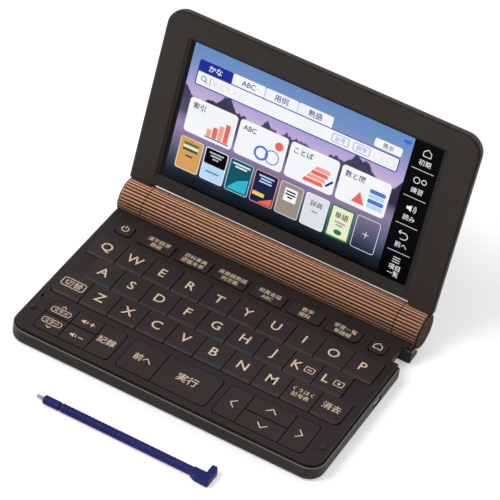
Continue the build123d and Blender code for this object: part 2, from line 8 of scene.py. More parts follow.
import json
import logging
import math
from dataclasses import dataclass
from enum import Enum
from typing import Any, Iterable, Sequence

import bmesh
import bpy
from bpy.types import Material, Node, NodeSocket, NodeTree, Object
from mathutils import Matrix, Vector

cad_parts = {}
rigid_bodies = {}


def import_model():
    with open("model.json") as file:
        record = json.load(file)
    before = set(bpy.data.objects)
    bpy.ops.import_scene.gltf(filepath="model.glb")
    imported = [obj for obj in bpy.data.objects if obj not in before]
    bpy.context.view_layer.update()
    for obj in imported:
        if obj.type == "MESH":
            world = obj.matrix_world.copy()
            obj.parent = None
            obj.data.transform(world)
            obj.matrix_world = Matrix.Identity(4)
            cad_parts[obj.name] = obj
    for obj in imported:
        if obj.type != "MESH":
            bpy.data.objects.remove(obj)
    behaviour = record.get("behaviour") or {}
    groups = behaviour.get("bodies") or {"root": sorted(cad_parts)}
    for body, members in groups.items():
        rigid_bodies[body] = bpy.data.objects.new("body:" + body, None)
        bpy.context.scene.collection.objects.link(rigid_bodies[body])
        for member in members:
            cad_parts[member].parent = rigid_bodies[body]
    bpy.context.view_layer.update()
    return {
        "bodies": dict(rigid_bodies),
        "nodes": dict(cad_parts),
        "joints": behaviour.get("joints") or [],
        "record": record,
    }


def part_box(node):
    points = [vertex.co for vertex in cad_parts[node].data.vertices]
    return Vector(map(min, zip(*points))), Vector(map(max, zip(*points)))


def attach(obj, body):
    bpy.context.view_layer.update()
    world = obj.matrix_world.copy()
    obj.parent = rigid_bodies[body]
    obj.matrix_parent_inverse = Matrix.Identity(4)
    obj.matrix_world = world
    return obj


LOG = logging.getLogger("electronic_dictionary")
MM = 0.001
Point = tuple[float, float]
Place = tuple[float, float, float]
# Left, right, lower and upper edge of a rectangle.
Box = tuple[float, float, float, float]
Stops = tuple[tuple[float, str], ...]

# The part of its range that a noise texture really fills.
NOISE_SPAN = {"From Min": 0.3, "From Max": 0.7}
# Points of the ink closer together than this are joined.
WELD_MM = 0.0005
# A drawn line's mitre grows no further once the cosine of half the corner's turn is below this.
MITRE_LIMIT = 0.35


# ------------------------------------------------------------------ helpers
def linear(colour: str) -> tuple[float, float, float, float]:
    """Turn an sRGB hex value such as "#8a5b3d" into linear RGBA.

    Args:
        colour: The hex value.

    Returns:
        Red, green, blue and alpha.
    """
    values = [int(colour[i:i + 2], 16) / 255 for i in (1, 3, 5)]
    red, green, blue = (v / 12.92 if v <= 0.04045 else ((v + 0.055) / 1.055) ** 2.4 for v in values)
    return red, green, blue, 1.0


def scale(size_mm: float) -> float:
    """Give the texture scale at which a pattern's detail has this size, in millimetres."""
    return 1000 / size_mm


def add_node(tree: NodeTree, kind: str, inputs: dict[str | int, Any] | None = None,
             **settings: Any) -> Node:
    """Add one shader node with its settings and links.

    Args:
        tree: The node tree that takes the node.
        kind: Blender's name of the node type.
        inputs: Socket name or index to a value, an output socket, or a node, which feeds it
            from the first output it has in use.
        **settings: Properties of the node; stops is a list of (place, hex colour) for a ramp.

    Returns:
        The new node.
    """
    node = tree.nodes.new(kind)
    stops = settings.pop("stops", None)
    for name, value in settings.items():
        setattr(node, name, value)
    if stops:
        ramp = node.color_ramp.elements
        while len(ramp) > 1:
            ramp.remove(ramp[-1])
        ramp[0].position, ramp[0].color = stops[0][0], linear(stops[0][1])
        for place, colour in stops[1:]:
            ramp.new(place).color = linear(colour)
    for name, value in (inputs or {}).items():
        if isinstance(value, Node):
            value = next(output for output in value.outputs if output.enabled)
        if isinstance(value, NodeSocket):
            tree.links.new(value, node.inputs[name])
        else:
            node.inputs[name].default_value = value
    return node


def new_material(name: str) -> tuple[Material, NodeTree, NodeSocket]:
    """Make an empty material; give it, its tree and the place of a point in metres.

    Args:
        name: Name of the material.

    Returns:
        The material, its node tree, and the socket with the place of a point in metres.
    """
    material = bpy.data.materials.new(name)
    material.use_nodes = True
    tree = material.node_tree
    tree.nodes.clear()
    return material, tree, add_node(tree, "ShaderNodeTexCoord").outputs["Object"]


def surfaced(material: Material, shader: Node) -> Material:
    """Make a shader the material's surface and give the material back."""
    add_node(material.node_tree, "ShaderNodeOutputMaterial", {"Surface": shader})
    return material


def dress(node: Object, material: Material) -> None:
    """Give a whole node one material.

    Args:
        node: The node.
        material: Its material.
    """
    node.data.materials.clear()
    node.data.materials.append(material)
    LOG.info("%s: %s", node.name, material.name)


# ----------------------------------------------------------------- finishes
@dataclass(frozen=True)
class PaintedLightBand:
    """Faces coloured with painted light: a painted highlight on a bevel, or painted shade on the walls down
    in a gap.

    They lie between two distances, in metres, along a direction from the frame's origin.
    """

    along: Vector
    low: float
    high: float
    colour: str


@dataclass(frozen=True)
class MouldedAbs:
    """ABS moulded against spark-eroded steel: a fine even grain that breaks up the gloss."""

    name: str
    colour: str
    shade: str
    # Faces whose colour is painted light, a painted highlight or painted shade, in place of the plastic's
    # own.
    band: PaintedLightBand | None = None
    # Real eroded grain is near 0.1 mm; it is drawn coarser, so that it shows.
    grain_mm: float = 0.45
    grain_depth_mm: float = 0.012
    flow_mm: float = 30.0
    roughness: float = 0.48
    specular: float = 0.16

    def material(self) -> Material:
        """Build the material.

        Returns:
            Matt plastic with its tool grain and a faint cloudiness from the melt's flow.
        """
        material, tree, place = new_material(self.name)
        flow = add_node(tree, "ShaderNodeTexNoise", {
            "Vector": place, "Scale": scale(self.flow_mm), "Detail": 3.0})
        grain = add_node(tree, "ShaderNodeTexNoise", {
            "Vector": place, "Scale": scale(self.grain_mm), "Detail": 2.0})
        colour = add_node(tree, "ShaderNodeValToRGB", {"Fac": flow},
                          stops=[(0.35, self.shade), (0.65, self.colour)])
        # Painted light: within the band the plastic's colour gives way to the band's painted highlight or
        # painted shade.
        if self.band:
            reach = add_node(tree, "ShaderNodeVectorMath", {0: place, 1: self.band.along},
                             operation="DOT_PRODUCT")
            middle, half = (self.band.low + self.band.high) / 2, (self.band.high - self.band.low) / 2
            inside = add_node(tree, "ShaderNodeMath", {0: reach, 1: middle, 2: half}, operation="COMPARE")
            colour = add_node(tree, "ShaderNodeMix", {0: inside, 6: colour, 7: linear(self.band.colour)},
                              data_type="RGBA")
        gloss = add_node(tree, "ShaderNodeMapRange", {
            "Value": grain, **NOISE_SPAN, "To Min": self.roughness - 0.05,
            "To Max": self.roughness + 0.07})
        bump = add_node(tree, "ShaderNodeBump", {
            "Height": grain, "Strength": 0.5, "Distance": self.grain_depth_mm * MM})
        shader = add_node(tree, "ShaderNodeBsdfPrincipled", {
            "Base Color": colour, "Roughness": gloss, "Specular IOR Level": self.specular, "Normal": bump})
        return surfaced(material, shader)


@dataclass(frozen=True)
class CopperPaint:
    """Metallic flake paint over a ribbed moulding, with a painted highlight on the crests and painted shade,
    thin and dark, in the valleys.
    """

    name: str
    # Colours by height on the rib: crest is a painted highlight and valley a painted shade; disc is the end
    # discs' own plastic.
    crest: str
    flank: str
    valley_shade: str
    disc: str
    axis: Vector
    crest_radius: float
    valley_radius: float
    disc_start: float
    # Real flakes are near 0.05 mm; they are drawn coarser, so that they show.
    flake_mm: float = 0.35
    rib_pitch_mm: float = 1.65
    streak_mm: tuple[float, float, float] = (60, 0.6, 0.6)
    streak_swing: float = 0.16
    metallic: float = 0.65

    def tone(self, tree: NodeTree, flat: Node, place: NodeSocket) -> Node:
        """Say how much painted light the paint gets at a point.

        Args:
            tree: The material's node tree.
            flat: The point, without how far along the barrel it is.
            place: The point.

        Returns:
            A node whose value differs at random from rib to rib, as painted reflections, and falls towards
            the underside, as painted shade.
        """
        # Painted reflection: the ribs' brightness differs at random from rib to rib.
        ribs = add_node(tree, "ShaderNodeTexNoise", {
            "Vector": flat, "Scale": scale(self.rib_pitch_mm), "Detail": 0.0})
        tone = add_node(tree, "ShaderNodeMapRange", {
            "Value": ribs, **NOISE_SPAN, "To Min": 0.72, "To Max": 1.12})
        # Painted shade: the paint darkens towards the underside of the barrel.
        height = add_node(tree, "ShaderNodeSeparateXYZ", {"Vector": place}).outputs["Z"]
        underside_shade = add_node(tree, "ShaderNodeMapRange", {
            "Value": height, "From Min": self.axis.z - 0.2 * self.crest_radius,
            "From Max": self.axis.z + 0.9 * self.crest_radius, "To Min": 0.42, "To Max": 1.1})
        return add_node(tree, "ShaderNodeMath", {0: tone, 1: underside_shade}, operation="MULTIPLY")

    def material(self) -> Material:
        """Build the material.

        Returns:
            Copper paint on the ribs and dark plastic on the end discs, told apart by place.
        """
        material, tree, place = new_material(self.name)
        flat = add_node(tree, "ShaderNodeVectorMath", {0: place, 1: (0.0, 1.0, 1.0)}, operation="MULTIPLY")
        arm = add_node(tree, "ShaderNodeVectorMath", {0: flat, 1: (0.0, self.axis.y, self.axis.z)},
                       operation="SUBTRACT")
        radius = add_node(tree, "ShaderNodeVectorMath", {0: arm}, operation="LENGTH")
        height = add_node(tree, "ShaderNodeMapRange", {
            "Value": radius, "From Min": self.valley_radius, "From Max": self.crest_radius})
        streak = add_node(tree, "ShaderNodeVectorMath", {
            0: place, 1: [scale(size) for size in self.streak_mm]}, operation="MULTIPLY")
        drawn = add_node(tree, "ShaderNodeTexNoise", {"Vector": streak, "Scale": 1.0})
        level = add_node(tree, "ShaderNodeMath", {0: drawn, 1: self.streak_swing, 2: -self.streak_swing / 2},
                         operation="MULTIPLY_ADD")
        shown = add_node(tree, "ShaderNodeMath", {0: height, 1: level}, operation="ADD", use_clamp=True)
        # Painted highlight and painted shade: the colour runs from dark valley to bright crest with the
        # distance from the axis.
        paint = add_node(tree, "ShaderNodeValToRGB", {"Fac": shown},
                         stops=[(0.0, self.valley_shade), (0.2, self.flank), (0.55, self.crest)])
        toned = add_node(tree, "ShaderNodeVectorMath", {0: paint, "Scale": self.tone(tree, flat, place)},
                         operation="SCALE")
        flake = add_node(tree, "ShaderNodeTexNoise", {
            "Vector": place, "Scale": scale(self.flake_mm), "Detail": 1.0})
        bump = add_node(tree, "ShaderNodeBump", {"Height": flake, "Strength": 0.35, "Distance": 0.01 * MM})
        gloss = add_node(tree, "ShaderNodeMapRange", {
            "Value": flake, **NOISE_SPAN, "To Min": 0.30, "To Max": 0.42})
        copper = add_node(tree, "ShaderNodeBsdfPrincipled", {
            "Base Color": toned, "Metallic": self.metallic, "Specular IOR Level": 0.15, "Roughness": gloss,
            "Normal": bump})
        dark = add_node(tree, "ShaderNodeBsdfPrincipled", {
            "Base Color": linear(self.disc), "Specular IOR Level": 0.03, "Roughness": 0.5, "Normal": bump})
        along = add_node(tree, "ShaderNodeSeparateXYZ", {"Vector": place}).outputs["X"]
        side = add_node(tree, "ShaderNodeMath", {0: along}, operation="ABSOLUTE")
        end = add_node(tree, "ShaderNodeMath", {0: side, 1: self.disc_start}, operation="GREATER_THAN")
        shader = add_node(tree, "ShaderNodeMixShader", {0: end, 1: copper, 2: dark})
        return surfaced(material, shader)


@dataclass(frozen=True)
class SmoothPolymer:
    """Polished or satin plastic, glass or rubber with a faint surface unevenness."""

    name: str
    colour: str
    shade: str
    roughness: float
    specular: float = 0.5
    unevenness_mm: float = 2.0
    depth_mm: float = 0.004

    def material(self) -> Material:
        """Build the material.

        Returns:
            A smooth surface whose gloss and colour drift a little, as a moulding's do.
        """
        material, tree, place = new_material(self.name)
        wave = add_node(tree, "ShaderNodeTexNoise", {
            "Vector": place, "Scale": scale(self.unevenness_mm), "Detail": 2.0})
        colour = add_node(tree, "ShaderNodeValToRGB", {"Fac": wave},
                          stops=[(0.3, self.shade), (0.7, self.colour)])
        gloss = add_node(tree, "ShaderNodeMapRange", {
            "Value": wave, **NOISE_SPAN, "To Min": self.roughness * 0.85, "To Max": self.roughness * 1.15})
        bump = add_node(tree, "ShaderNodeBump", {
            "Height": wave, "Strength": 0.3, "Distance": self.depth_mm * MM})
        shader = add_node(tree, "ShaderNodeBsdfPrincipled", {
            "Base Color": colour, "Roughness": gloss, "Specular IOR Level": self.specular, "Normal": bump})
        return surfaced(material, shader)


@dataclass(frozen=True)
class PlatedSteel:
    """Zinc-plated steel, passivated dark: satin metal, finely uneven like the plating's crystals."""

    name: str = "screw_zinc"
    colour: str = "#5a5a5e"
    # Real crystals are far smaller; they are drawn coarser, so that they show.
    crystal_mm: float = 0.25
    roughness: float = 0.35

    def material(self) -> Material:
        """Build the material.

        Returns:
            Dark satin metal whose gloss varies finely over the plating.
        """
        material, tree, place = new_material(self.name)
        plating = add_node(tree, "ShaderNodeTexNoise", {
            "Vector": place, "Scale": scale(self.crystal_mm), "Detail": 1.0})
        gloss = add_node(tree, "ShaderNodeMapRange", {
            "Value": plating, "To Min": self.roughness - 0.1, "To Max": self.roughness + 0.1})
        bump = add_node(tree, "ShaderNodeBump", {"Height": plating, "Strength": 0.3, "Distance": 0.01 * MM})
        shader = add_node(tree, "ShaderNodeBsdfPrincipled", {
            "Base Color": linear(self.colour), "Metallic": 1.0, "Roughness": gloss, "Normal": bump})
        return surfaced(material, shader)


@dataclass(frozen=True)
class MaskedBoard:
    """Glass-fibre board under green solder mask: paler tracks show, and domes are bare steel."""

    dome_base_m: float
    name: str = "board_mask"
    mask: str = "#14502e"
    track: str = "#1f7442"
    dome: str = "#b9babd"
    track_mm: float = 2.4

    def material(self) -> Material:
        """Build the material.

        Returns:
            Green mask with tracks at their pitch, and steel above the board's own face.
        """
        material, tree, place = new_material(self.name)
        tracks = add_node(tree, "ShaderNodeTexBrick", {
            "Vector": place, "Color1": linear(self.mask), "Color2": linear(self.mask),
            "Mortar": linear(self.track), "Scale": scale(self.track_mm), "Mortar Size": 0.06,
            "Brick Width": 2.7, "Row Height": 0.5})
        mask = add_node(tree, "ShaderNodeBsdfPrincipled", {"Base Color": tracks, "Roughness": 0.35})
        steel = add_node(tree, "ShaderNodeBsdfPrincipled", {
            "Base Color": linear(self.dome), "Metallic": 1.0, "Roughness": 0.28})
        height = add_node(tree, "ShaderNodeSeparateXYZ", {"Vector": place}).outputs["Z"]
        above = add_node(tree, "ShaderNodeMath", {0: height, 1: self.dome_base_m}, operation="GREATER_THAN")
        shader = add_node(tree, "ShaderNodeMixShader", {0: above, 1: mask, 2: steel})
        return surfaced(material, shader)


@dataclass(frozen=True)
class CellSleeve:
    """Printed shrink sleeve on a steel can: film in two colours, bare nickel at both ends."""

    low_x: float
    high_x: float
    name: str = "cell_sleeve"
    body: str = "#85868a"
    band: str = "#3a5480"
    nickel: str = "#c8c6c0"
    band_part: float = 0.24
    bare_mm: float = 1.6
    film_mm: float = 3.0
    cells: int = 2

    def material(self) -> Material:
        """Build the material.

        Returns:
            Sleeve with a coloured band at the plus end, told apart along the cell's length.
        """
        material, tree, place = new_material(self.name)
        reach = add_node(tree, "ShaderNodeSeparateXYZ", {"Vector": place}).outputs["X"]
        along = add_node(tree, "ShaderNodeMapRange", {
            "Value": reach, "From Min": self.low_x, "From Max": self.high_x, "To Min": 0.0,
            "To Max": self.cells})
        cell = add_node(tree, "ShaderNodeMath", {0: along}, operation="FRACT")
        bare = self.bare_mm * MM * self.cells / (self.high_x - self.low_x)
        stops = ((0.0, self.nickel), (bare, self.body), (1 - bare - self.band_part, self.band),
                 (1 - bare, self.nickel))
        colour = add_node(tree, "ShaderNodeValToRGB", {"Fac": cell}, stops=stops)
        colour.color_ramp.interpolation = "CONSTANT"
        film = add_node(tree, "ShaderNodeTexNoise", {
            "Vector": place, "Scale": scale(self.film_mm), "Detail": 1.0})
        gloss = add_node(tree, "ShaderNodeMapRange", {"Value": film, "To Min": 0.2, "To Max": 0.36})
        shader = add_node(tree, "ShaderNodeBsdfPrincipled", {
            "Base Color": colour, "Metallic": 0.35, "Roughness": gloss})
        return surfaced(material, shader)


@dataclass(frozen=True)
class PadInk:
    """Pad-printed metallic ink: thin, satin, a little uneven in density."""

    name: str = "legend_ink"
    colour: str = "#ecd6bd"
    shade: str = "#d9bc9c"
    patch_mm: float = 0.8

    def material(self) -> Material:
        """Build the material.

        Returns:
            Satin ink that is a little denser in some places than in others.
        """
        material, tree, place = new_material(self.name)
        patch = add_node(tree, "ShaderNodeTexNoise", {
            "Vector": place, "Scale": scale(self.patch_mm), "Detail": 2.0})
        colour = add_node(tree, "ShaderNodeValToRGB", {"Fac": patch},
                          stops=[(0.35, self.shade), (0.65, self.colour)])
        shader = add_node(tree, "ShaderNodeBsdfPrincipled", {
            "Base Color": colour, "Metallic": 0.15, "Roughness": 0.5})
        return surfaced(material, shader)


@dataclass(frozen=True)
class BacklitGlass:
    """Front glass of a backlit display: almost black itself, it shows the light behind it."""

    colour: str = "#040405"
    roughness: float = 0.14
    specular: float = 0.02

    def lit(self, material: Material, light: Node) -> Material:
        """Put the glass over a light.

        Args:
            material: The material to finish.
            light: Node that gives the light's colour.

        Returns:
            The same material.
        """
        shader = add_node(material.node_tree, "ShaderNodeBsdfPrincipled", {
            "Base Color": linear(self.colour), "Roughness": self.roughness,
            "Specular IOR Level": self.specular, "Emission Color": light, "Emission Strength": 1.0})
        return surfaced(material, shader)


@dataclass(frozen=True)
class LitColour:
    """One colour of a backlit display under glass: it gives its own light, a little uneven."""

    name: str
    colour: str
    drift: float = 0.04
    drift_mm: float = 12.0

    def material(self) -> Material:
        """Build the material.

        Returns:
            Dark glass with one even light behind it.
        """
        material, tree, place = new_material(self.name)
        lamp = add_node(tree, "ShaderNodeTexNoise", {
            "Vector": place, "Scale": scale(self.drift_mm), "Detail": 1.0})
        level = add_node(tree, "ShaderNodeMapRange", {
            "Value": lamp, **NOISE_SPAN, "To Min": 1 - self.drift, "To Max": 1.0})
        light = add_node(tree, "ShaderNodeVectorMath", {0: linear(self.colour)[:3], "Scale": level},
                         operation="SCALE")
        return BacklitGlass().lit(material, light)


@dataclass(frozen=True)
class LitSky:
    """Dusk over hills on a backlit display: soft bands that drift with a slow noise."""

    low_m: float
    high_m: float
    name: str = "screen_sky"
    cloud_mm: float = 40.0
    cloud_swing: float = 0.16
    hill_mm: float = 16.0
    hill_rise: float = 0.56
    hill_base: float = 0.37
    hill_edge: float = 0.012
    hill_foot: Point = (0.40, 0.50)
    sky: Stops = ((0.0, "#0b0d12"), (0.08, "#1b2432"), (0.20, "#4d536e"), (0.36, "#8b789e"),
                  (0.62, "#c9b0d8"), (0.74, "#a59bd4"), (0.86, "#7493c4"), (1.0, "#688cc2"))
    hill: Stops = ((0.35, "#332f49"), (0.65, "#5f5b82"))

    def material(self) -> Material:
        """Build the material.

        Returns:
            A dusk sky by height, with a line of far hills in front of it.
        """
        material, tree, place = new_material(self.name)
        rise = add_node(tree, "ShaderNodeSeparateXYZ", {"Vector": place}).outputs["Y"]
        height = add_node(tree, "ShaderNodeMapRange", {
            "Value": rise, "From Min": self.low_m, "From Max": self.high_m})
        cloud = add_node(tree, "ShaderNodeTexNoise", {
            "Vector": place, "Scale": scale(self.cloud_mm), "Detail": 3.0, "Distortion": 0.6})
        drift = add_node(tree, "ShaderNodeMath", {0: cloud, 1: self.cloud_swing, 2: -self.cloud_swing / 2},
                         operation="MULTIPLY_ADD")
        level = add_node(tree, "ShaderNodeMath", {0: height, 1: drift}, operation="ADD", use_clamp=True)
        sky = add_node(tree, "ShaderNodeValToRGB", {"Fac": level}, stops=self.sky)
        across = add_node(tree, "ShaderNodeVectorMath", {0: place, 1: (1.0, 0.0, 0.0)},
                          operation="MULTIPLY")
        ridge = add_node(tree, "ShaderNodeTexNoise", {
            "Vector": across, "Scale": scale(self.hill_mm), "Detail": 4.0})
        crest = add_node(tree, "ShaderNodeMath", {0: ridge, 1: self.hill_rise, 2: self.hill_base},
                         operation="MULTIPLY_ADD")
        inside = add_node(tree, "ShaderNodeMath", {0: crest, 1: height}, operation="SUBTRACT")
        soft = add_node(tree, "ShaderNodeMapRange", {
            "Value": inside, "From Min": 0.0, "From Max": self.hill_edge})
        low, high = self.hill_foot
        foot = add_node(tree, "ShaderNodeMapRange", {"Value": height, "From Min": low, "From Max": high})
        mask = add_node(tree, "ShaderNodeMath", {0: soft, 1: foot}, operation="MULTIPLY")
        slope = add_node(tree, "ShaderNodeValToRGB", {"Fac": cloud}, stops=self.hill)
        light = add_node(tree, "ShaderNodeMix", {0: mask, 6: sky, 7: slope}, data_type="RGBA")
        return BacklitGlass().lit(material, light)


# -------------------------------------------------------------- printed art
class Ink(Enum):
    """Colours of the printed and lit art."""

    LEGEND = "#ecd6bd"
    WHITE = "#f6f8fb"
    NAVY = "#1b2f9a"
    DEEP = "#1c2148"
    BLACK = "#030304"
    GREY = "#9aa0a8"
    PALE = "#dfe3e6"
    CORAL = "#ee6b57"
    BLUSH = "#f6a596"
    BLUE = "#4f78d0"
    SKY = "#b9dcf5"
    TAN = "#d9a15c"
    CREAM = "#eef0cc"
    GREEN = "#2f7d46"
    TEAL = "#0f5666"
    CYAN = "#35b6cf"
    TAUPE = "#9c9182"
    YELLOW = "#f2cf4a"
    MARK = "#2f6fe0"


def arc(x: float, y: float, radius: float, start: float, end: float, steps: int = 12) -> list[Point]:
    """Give points along an arc, with the angles in degrees from +x."""
    turns = [math.radians(start + (end - start) * i / steps) for i in range(steps + 1)]
    return [(x + radius * math.cos(a), y + radius * math.sin(a)) for a in turns]


def circle(x: float, y: float, radius: float, steps: int = 28) -> list[Point]:
    """Give the points of a circle."""
    return arc(x, y, radius, 0, 360, steps)[:-1]


def rounded(x0: float, x1: float, y0: float, y1: float, radius: float) -> list[Point]:
    """Give the outline of a rectangle with round corners.

    Args:
        x0: Left edge.
        x1: Right edge.
        y0: Lower edge.
        y1: Upper edge.
        radius: Radius of the corners.

    Returns:
        Its points, counter-clockwise.
    """
    spots = ((x1 - radius, y0 + radius, -90), (x1 - radius, y1 - radius, 0),
             (x0 + radius, y1 - radius, 90), (x0 + radius, y0 + radius, 180))
    return [p for x, y, start in spots for p in arc(x, y, radius, start, start + 90, 4)]


def beside(points: Sequence[Point], distance: float, closed: bool) -> list[Point]:
    """Shift a line sideways to its left, with mitred corners.

    Args:
        points: The line's points.
        distance: How far to shift it; negative is to the right.
        closed: Whether the last point joins the first.

    Returns:
        As many points as the line has.
    """
    count = len(points)
    shifted = []
    for i, here in enumerate(points):
        before = points[i - 1] if closed or i else here
        after = points[(i + 1) % count] if closed or i < count - 1 else here
        normals = []
        for a, b in ((before, here), (here, after)):
            run = Vector((b[0] - a[0], b[1] - a[1]))
            if run.length:
                normals.append(Vector((-run.y, run.x)).normalized())
        middle = sum(normals, Vector((0, 0))).normalized()
        reach = distance / max(MITRE_LIMIT, middle.dot(normals[0]))
        shifted.append((here[0] + middle.x * reach, here[1] + middle.y * reach))
    return shifted


class InkSheet:
    """Thin closed prisms of ink drawn in one plane, in millimetres."""

    def __init__(self, ink: Ink, low: float = 0.01, thick: float = 0.02) -> None:
        """Start an empty sheet.

        Args:
            ink: First colour to draw with.
            low: Underside of the ink above the plane.
            thick: Thickness of the ink.
        """
        self.ink = ink
        self.low = low
        self.thick = thick
        self.points: list[Place] = []
        self.faces: list[tuple[int, ...]] = []
        self.inks: list[Ink] = []

    def use(self, ink: Ink, raise_by: float = 0.0) -> None:
        """Change colour, and lift what follows by some millimetres."""
        self.ink = ink
        self.low += raise_by

    def add(self, points: Iterable[Place], faces: Iterable[tuple[int, ...]]) -> None:
        """Add points and the faces between them in the colour in use.

        Args:
            points: The points.
            faces: Numbers of each face's points, counted from the first one added.
        """
        start = len(self.points)
        self.points += points
        for face in faces:
            self.faces.append(tuple(start + i for i in face))
            self.inks.append(self.ink)

    def plate(self, outline: Sequence[Point]) -> None:
        """Fill one outline.

        Args:
            outline: Its points, either way round.
        """
        count = len(outline)
        turns = (a[0] * b[1] - b[0] * a[1] for a, b in zip([outline[-1], *outline], outline))
        ordered = list(outline) if sum(turns) > 0 else list(reversed(outline))
        faces = [tuple(reversed(range(count))), tuple(range(count, 2 * count))]
        for i in range(count):
            j = (i + 1) % count
            faces.append((i, j, count + j, count + i))
        self.add([(x, y, z) for z in (self.low, self.low + self.thick) for x, y in ordered], faces)

    def bar(self, x0: float, x1: float, y0: float, y1: float) -> None:
        """Fill a rectangle."""
        self.plate([(x0, y0), (x1, y0), (x1, y1), (x0, y1)])

    def line(self, points: Sequence[Point], width: float) -> None:
        """Draw an open line of one width."""
        self.plate(beside(points, width / 2, False) + beside(points, -width / 2, False)[::-1])

    def hoop(self, outline: Sequence[Point], width: float) -> None:
        """Draw a closed line of one width just inside a counter-clockwise outline.

        Args:
            outline: The line's outer edge.
            width: Width of the line.
        """
        count = len(outline)
        inner = beside(outline, width, True)
        low, high = self.low, self.low + self.thick
        rings = [(x, y, z) for z in (low, high) for ring in (outline, inner) for x, y in ring]
        faces = []
        for i in range(count):
            j = (i + 1) % count
            out_low, in_low, out_high, in_high = (
                (base + i, base + j) for base in range(0, 4 * count, count))
            faces.append((out_high[0], out_high[1], in_high[1], in_high[0]))
            faces.append((out_low[1], out_low[0], in_low[0], in_low[1]))
            faces.append((out_low[0], out_low[1], out_high[1], out_high[0]))
            faces.append((in_low[1], in_low[0], in_high[0], in_high[1]))
        self.add(rings, faces)

    def words(self, text: str, x: float, y: float, em: float, weight: float = 0.0,
              baseline: bool = False, left: bool = False, stretch: float = 1.0) -> None:
        """Set words in the built-in type.

        Args:
            text: The words.
            x: Middle of the words, or their left end.
            y: Middle of the words, or their baseline.
            em: Size of the type.
            weight: How much bolder the strokes are, in parts of the em.
            baseline: Whether y is the baseline.
            left: Whether x is the left end.
            stretch: Width in parts of the normal width.
        """
        curve = bpy.data.curves.new("words", "FONT")
        curve.body = text
        curve.size = 1.0
        curve.offset = weight
        curve.extrude = 0.5
        curve.resolution_u = 3
        maker = bpy.data.objects.new("words", curve)
        bpy.context.collection.objects.link(maker)
        mesh = bpy.data.meshes.new_from_object(maker)
        spots = [v.co.copy() for v in mesh.vertices]
        xs = [p.x for p in spots]
        ys = [p.y for p in spots]
        base_x = min(xs) if left else (min(xs) + max(xs)) / 2
        base_y = 0.0 if baseline else (min(ys) + max(ys)) / 2
        self.add([(x + (p.x - base_x) * em * stretch, y + (p.y - base_y) * em,
                   self.low + (p.z + 0.5) * self.thick) for p in spots],
                 [tuple(face.vertices) for face in mesh.polygons])
        bpy.data.objects.remove(maker)
        bpy.data.curves.remove(curve)
        bpy.data.meshes.remove(mesh)

    def piece(self, name: str, place: Matrix, finishes: dict[Ink, Material], body: str,
              slot: str) -> None:
        """Make the mesh object and let it ride on its body.

        Args:
            name: Name of the piece.
            place: The plane's place in the frame, in metres.
            finishes: Material of each ink.
            body: Body that the piece moves with.
            slot: The record's material slot that the piece belongs to; not used.
        """
        mesh = bpy.data.meshes.new(name)
        mesh.from_pydata([tuple(v * MM for v in p) for p in self.points], [], self.faces)
        used = sorted(set(self.inks), key=lambda ink: ink.name)
        for ink in used:
            mesh.materials.append(finishes[ink])
        for face, ink in zip(mesh.polygons, self.inks):
            face.material_index = used.index(ink)
        work = bmesh.new()
        work.from_mesh(mesh)
        bmesh.ops.remove_doubles(work, verts=work.verts, dist=WELD_MM * MM)
        work.to_mesh(mesh)
        work.free()
        piece = bpy.data.objects.new(name, mesh)
        bpy.context.collection.objects.link(piece)
        piece.matrix_world = place
        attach(piece, body)
        LOG.info("%s: %d faces on %s", name, len(mesh.polygons), body)


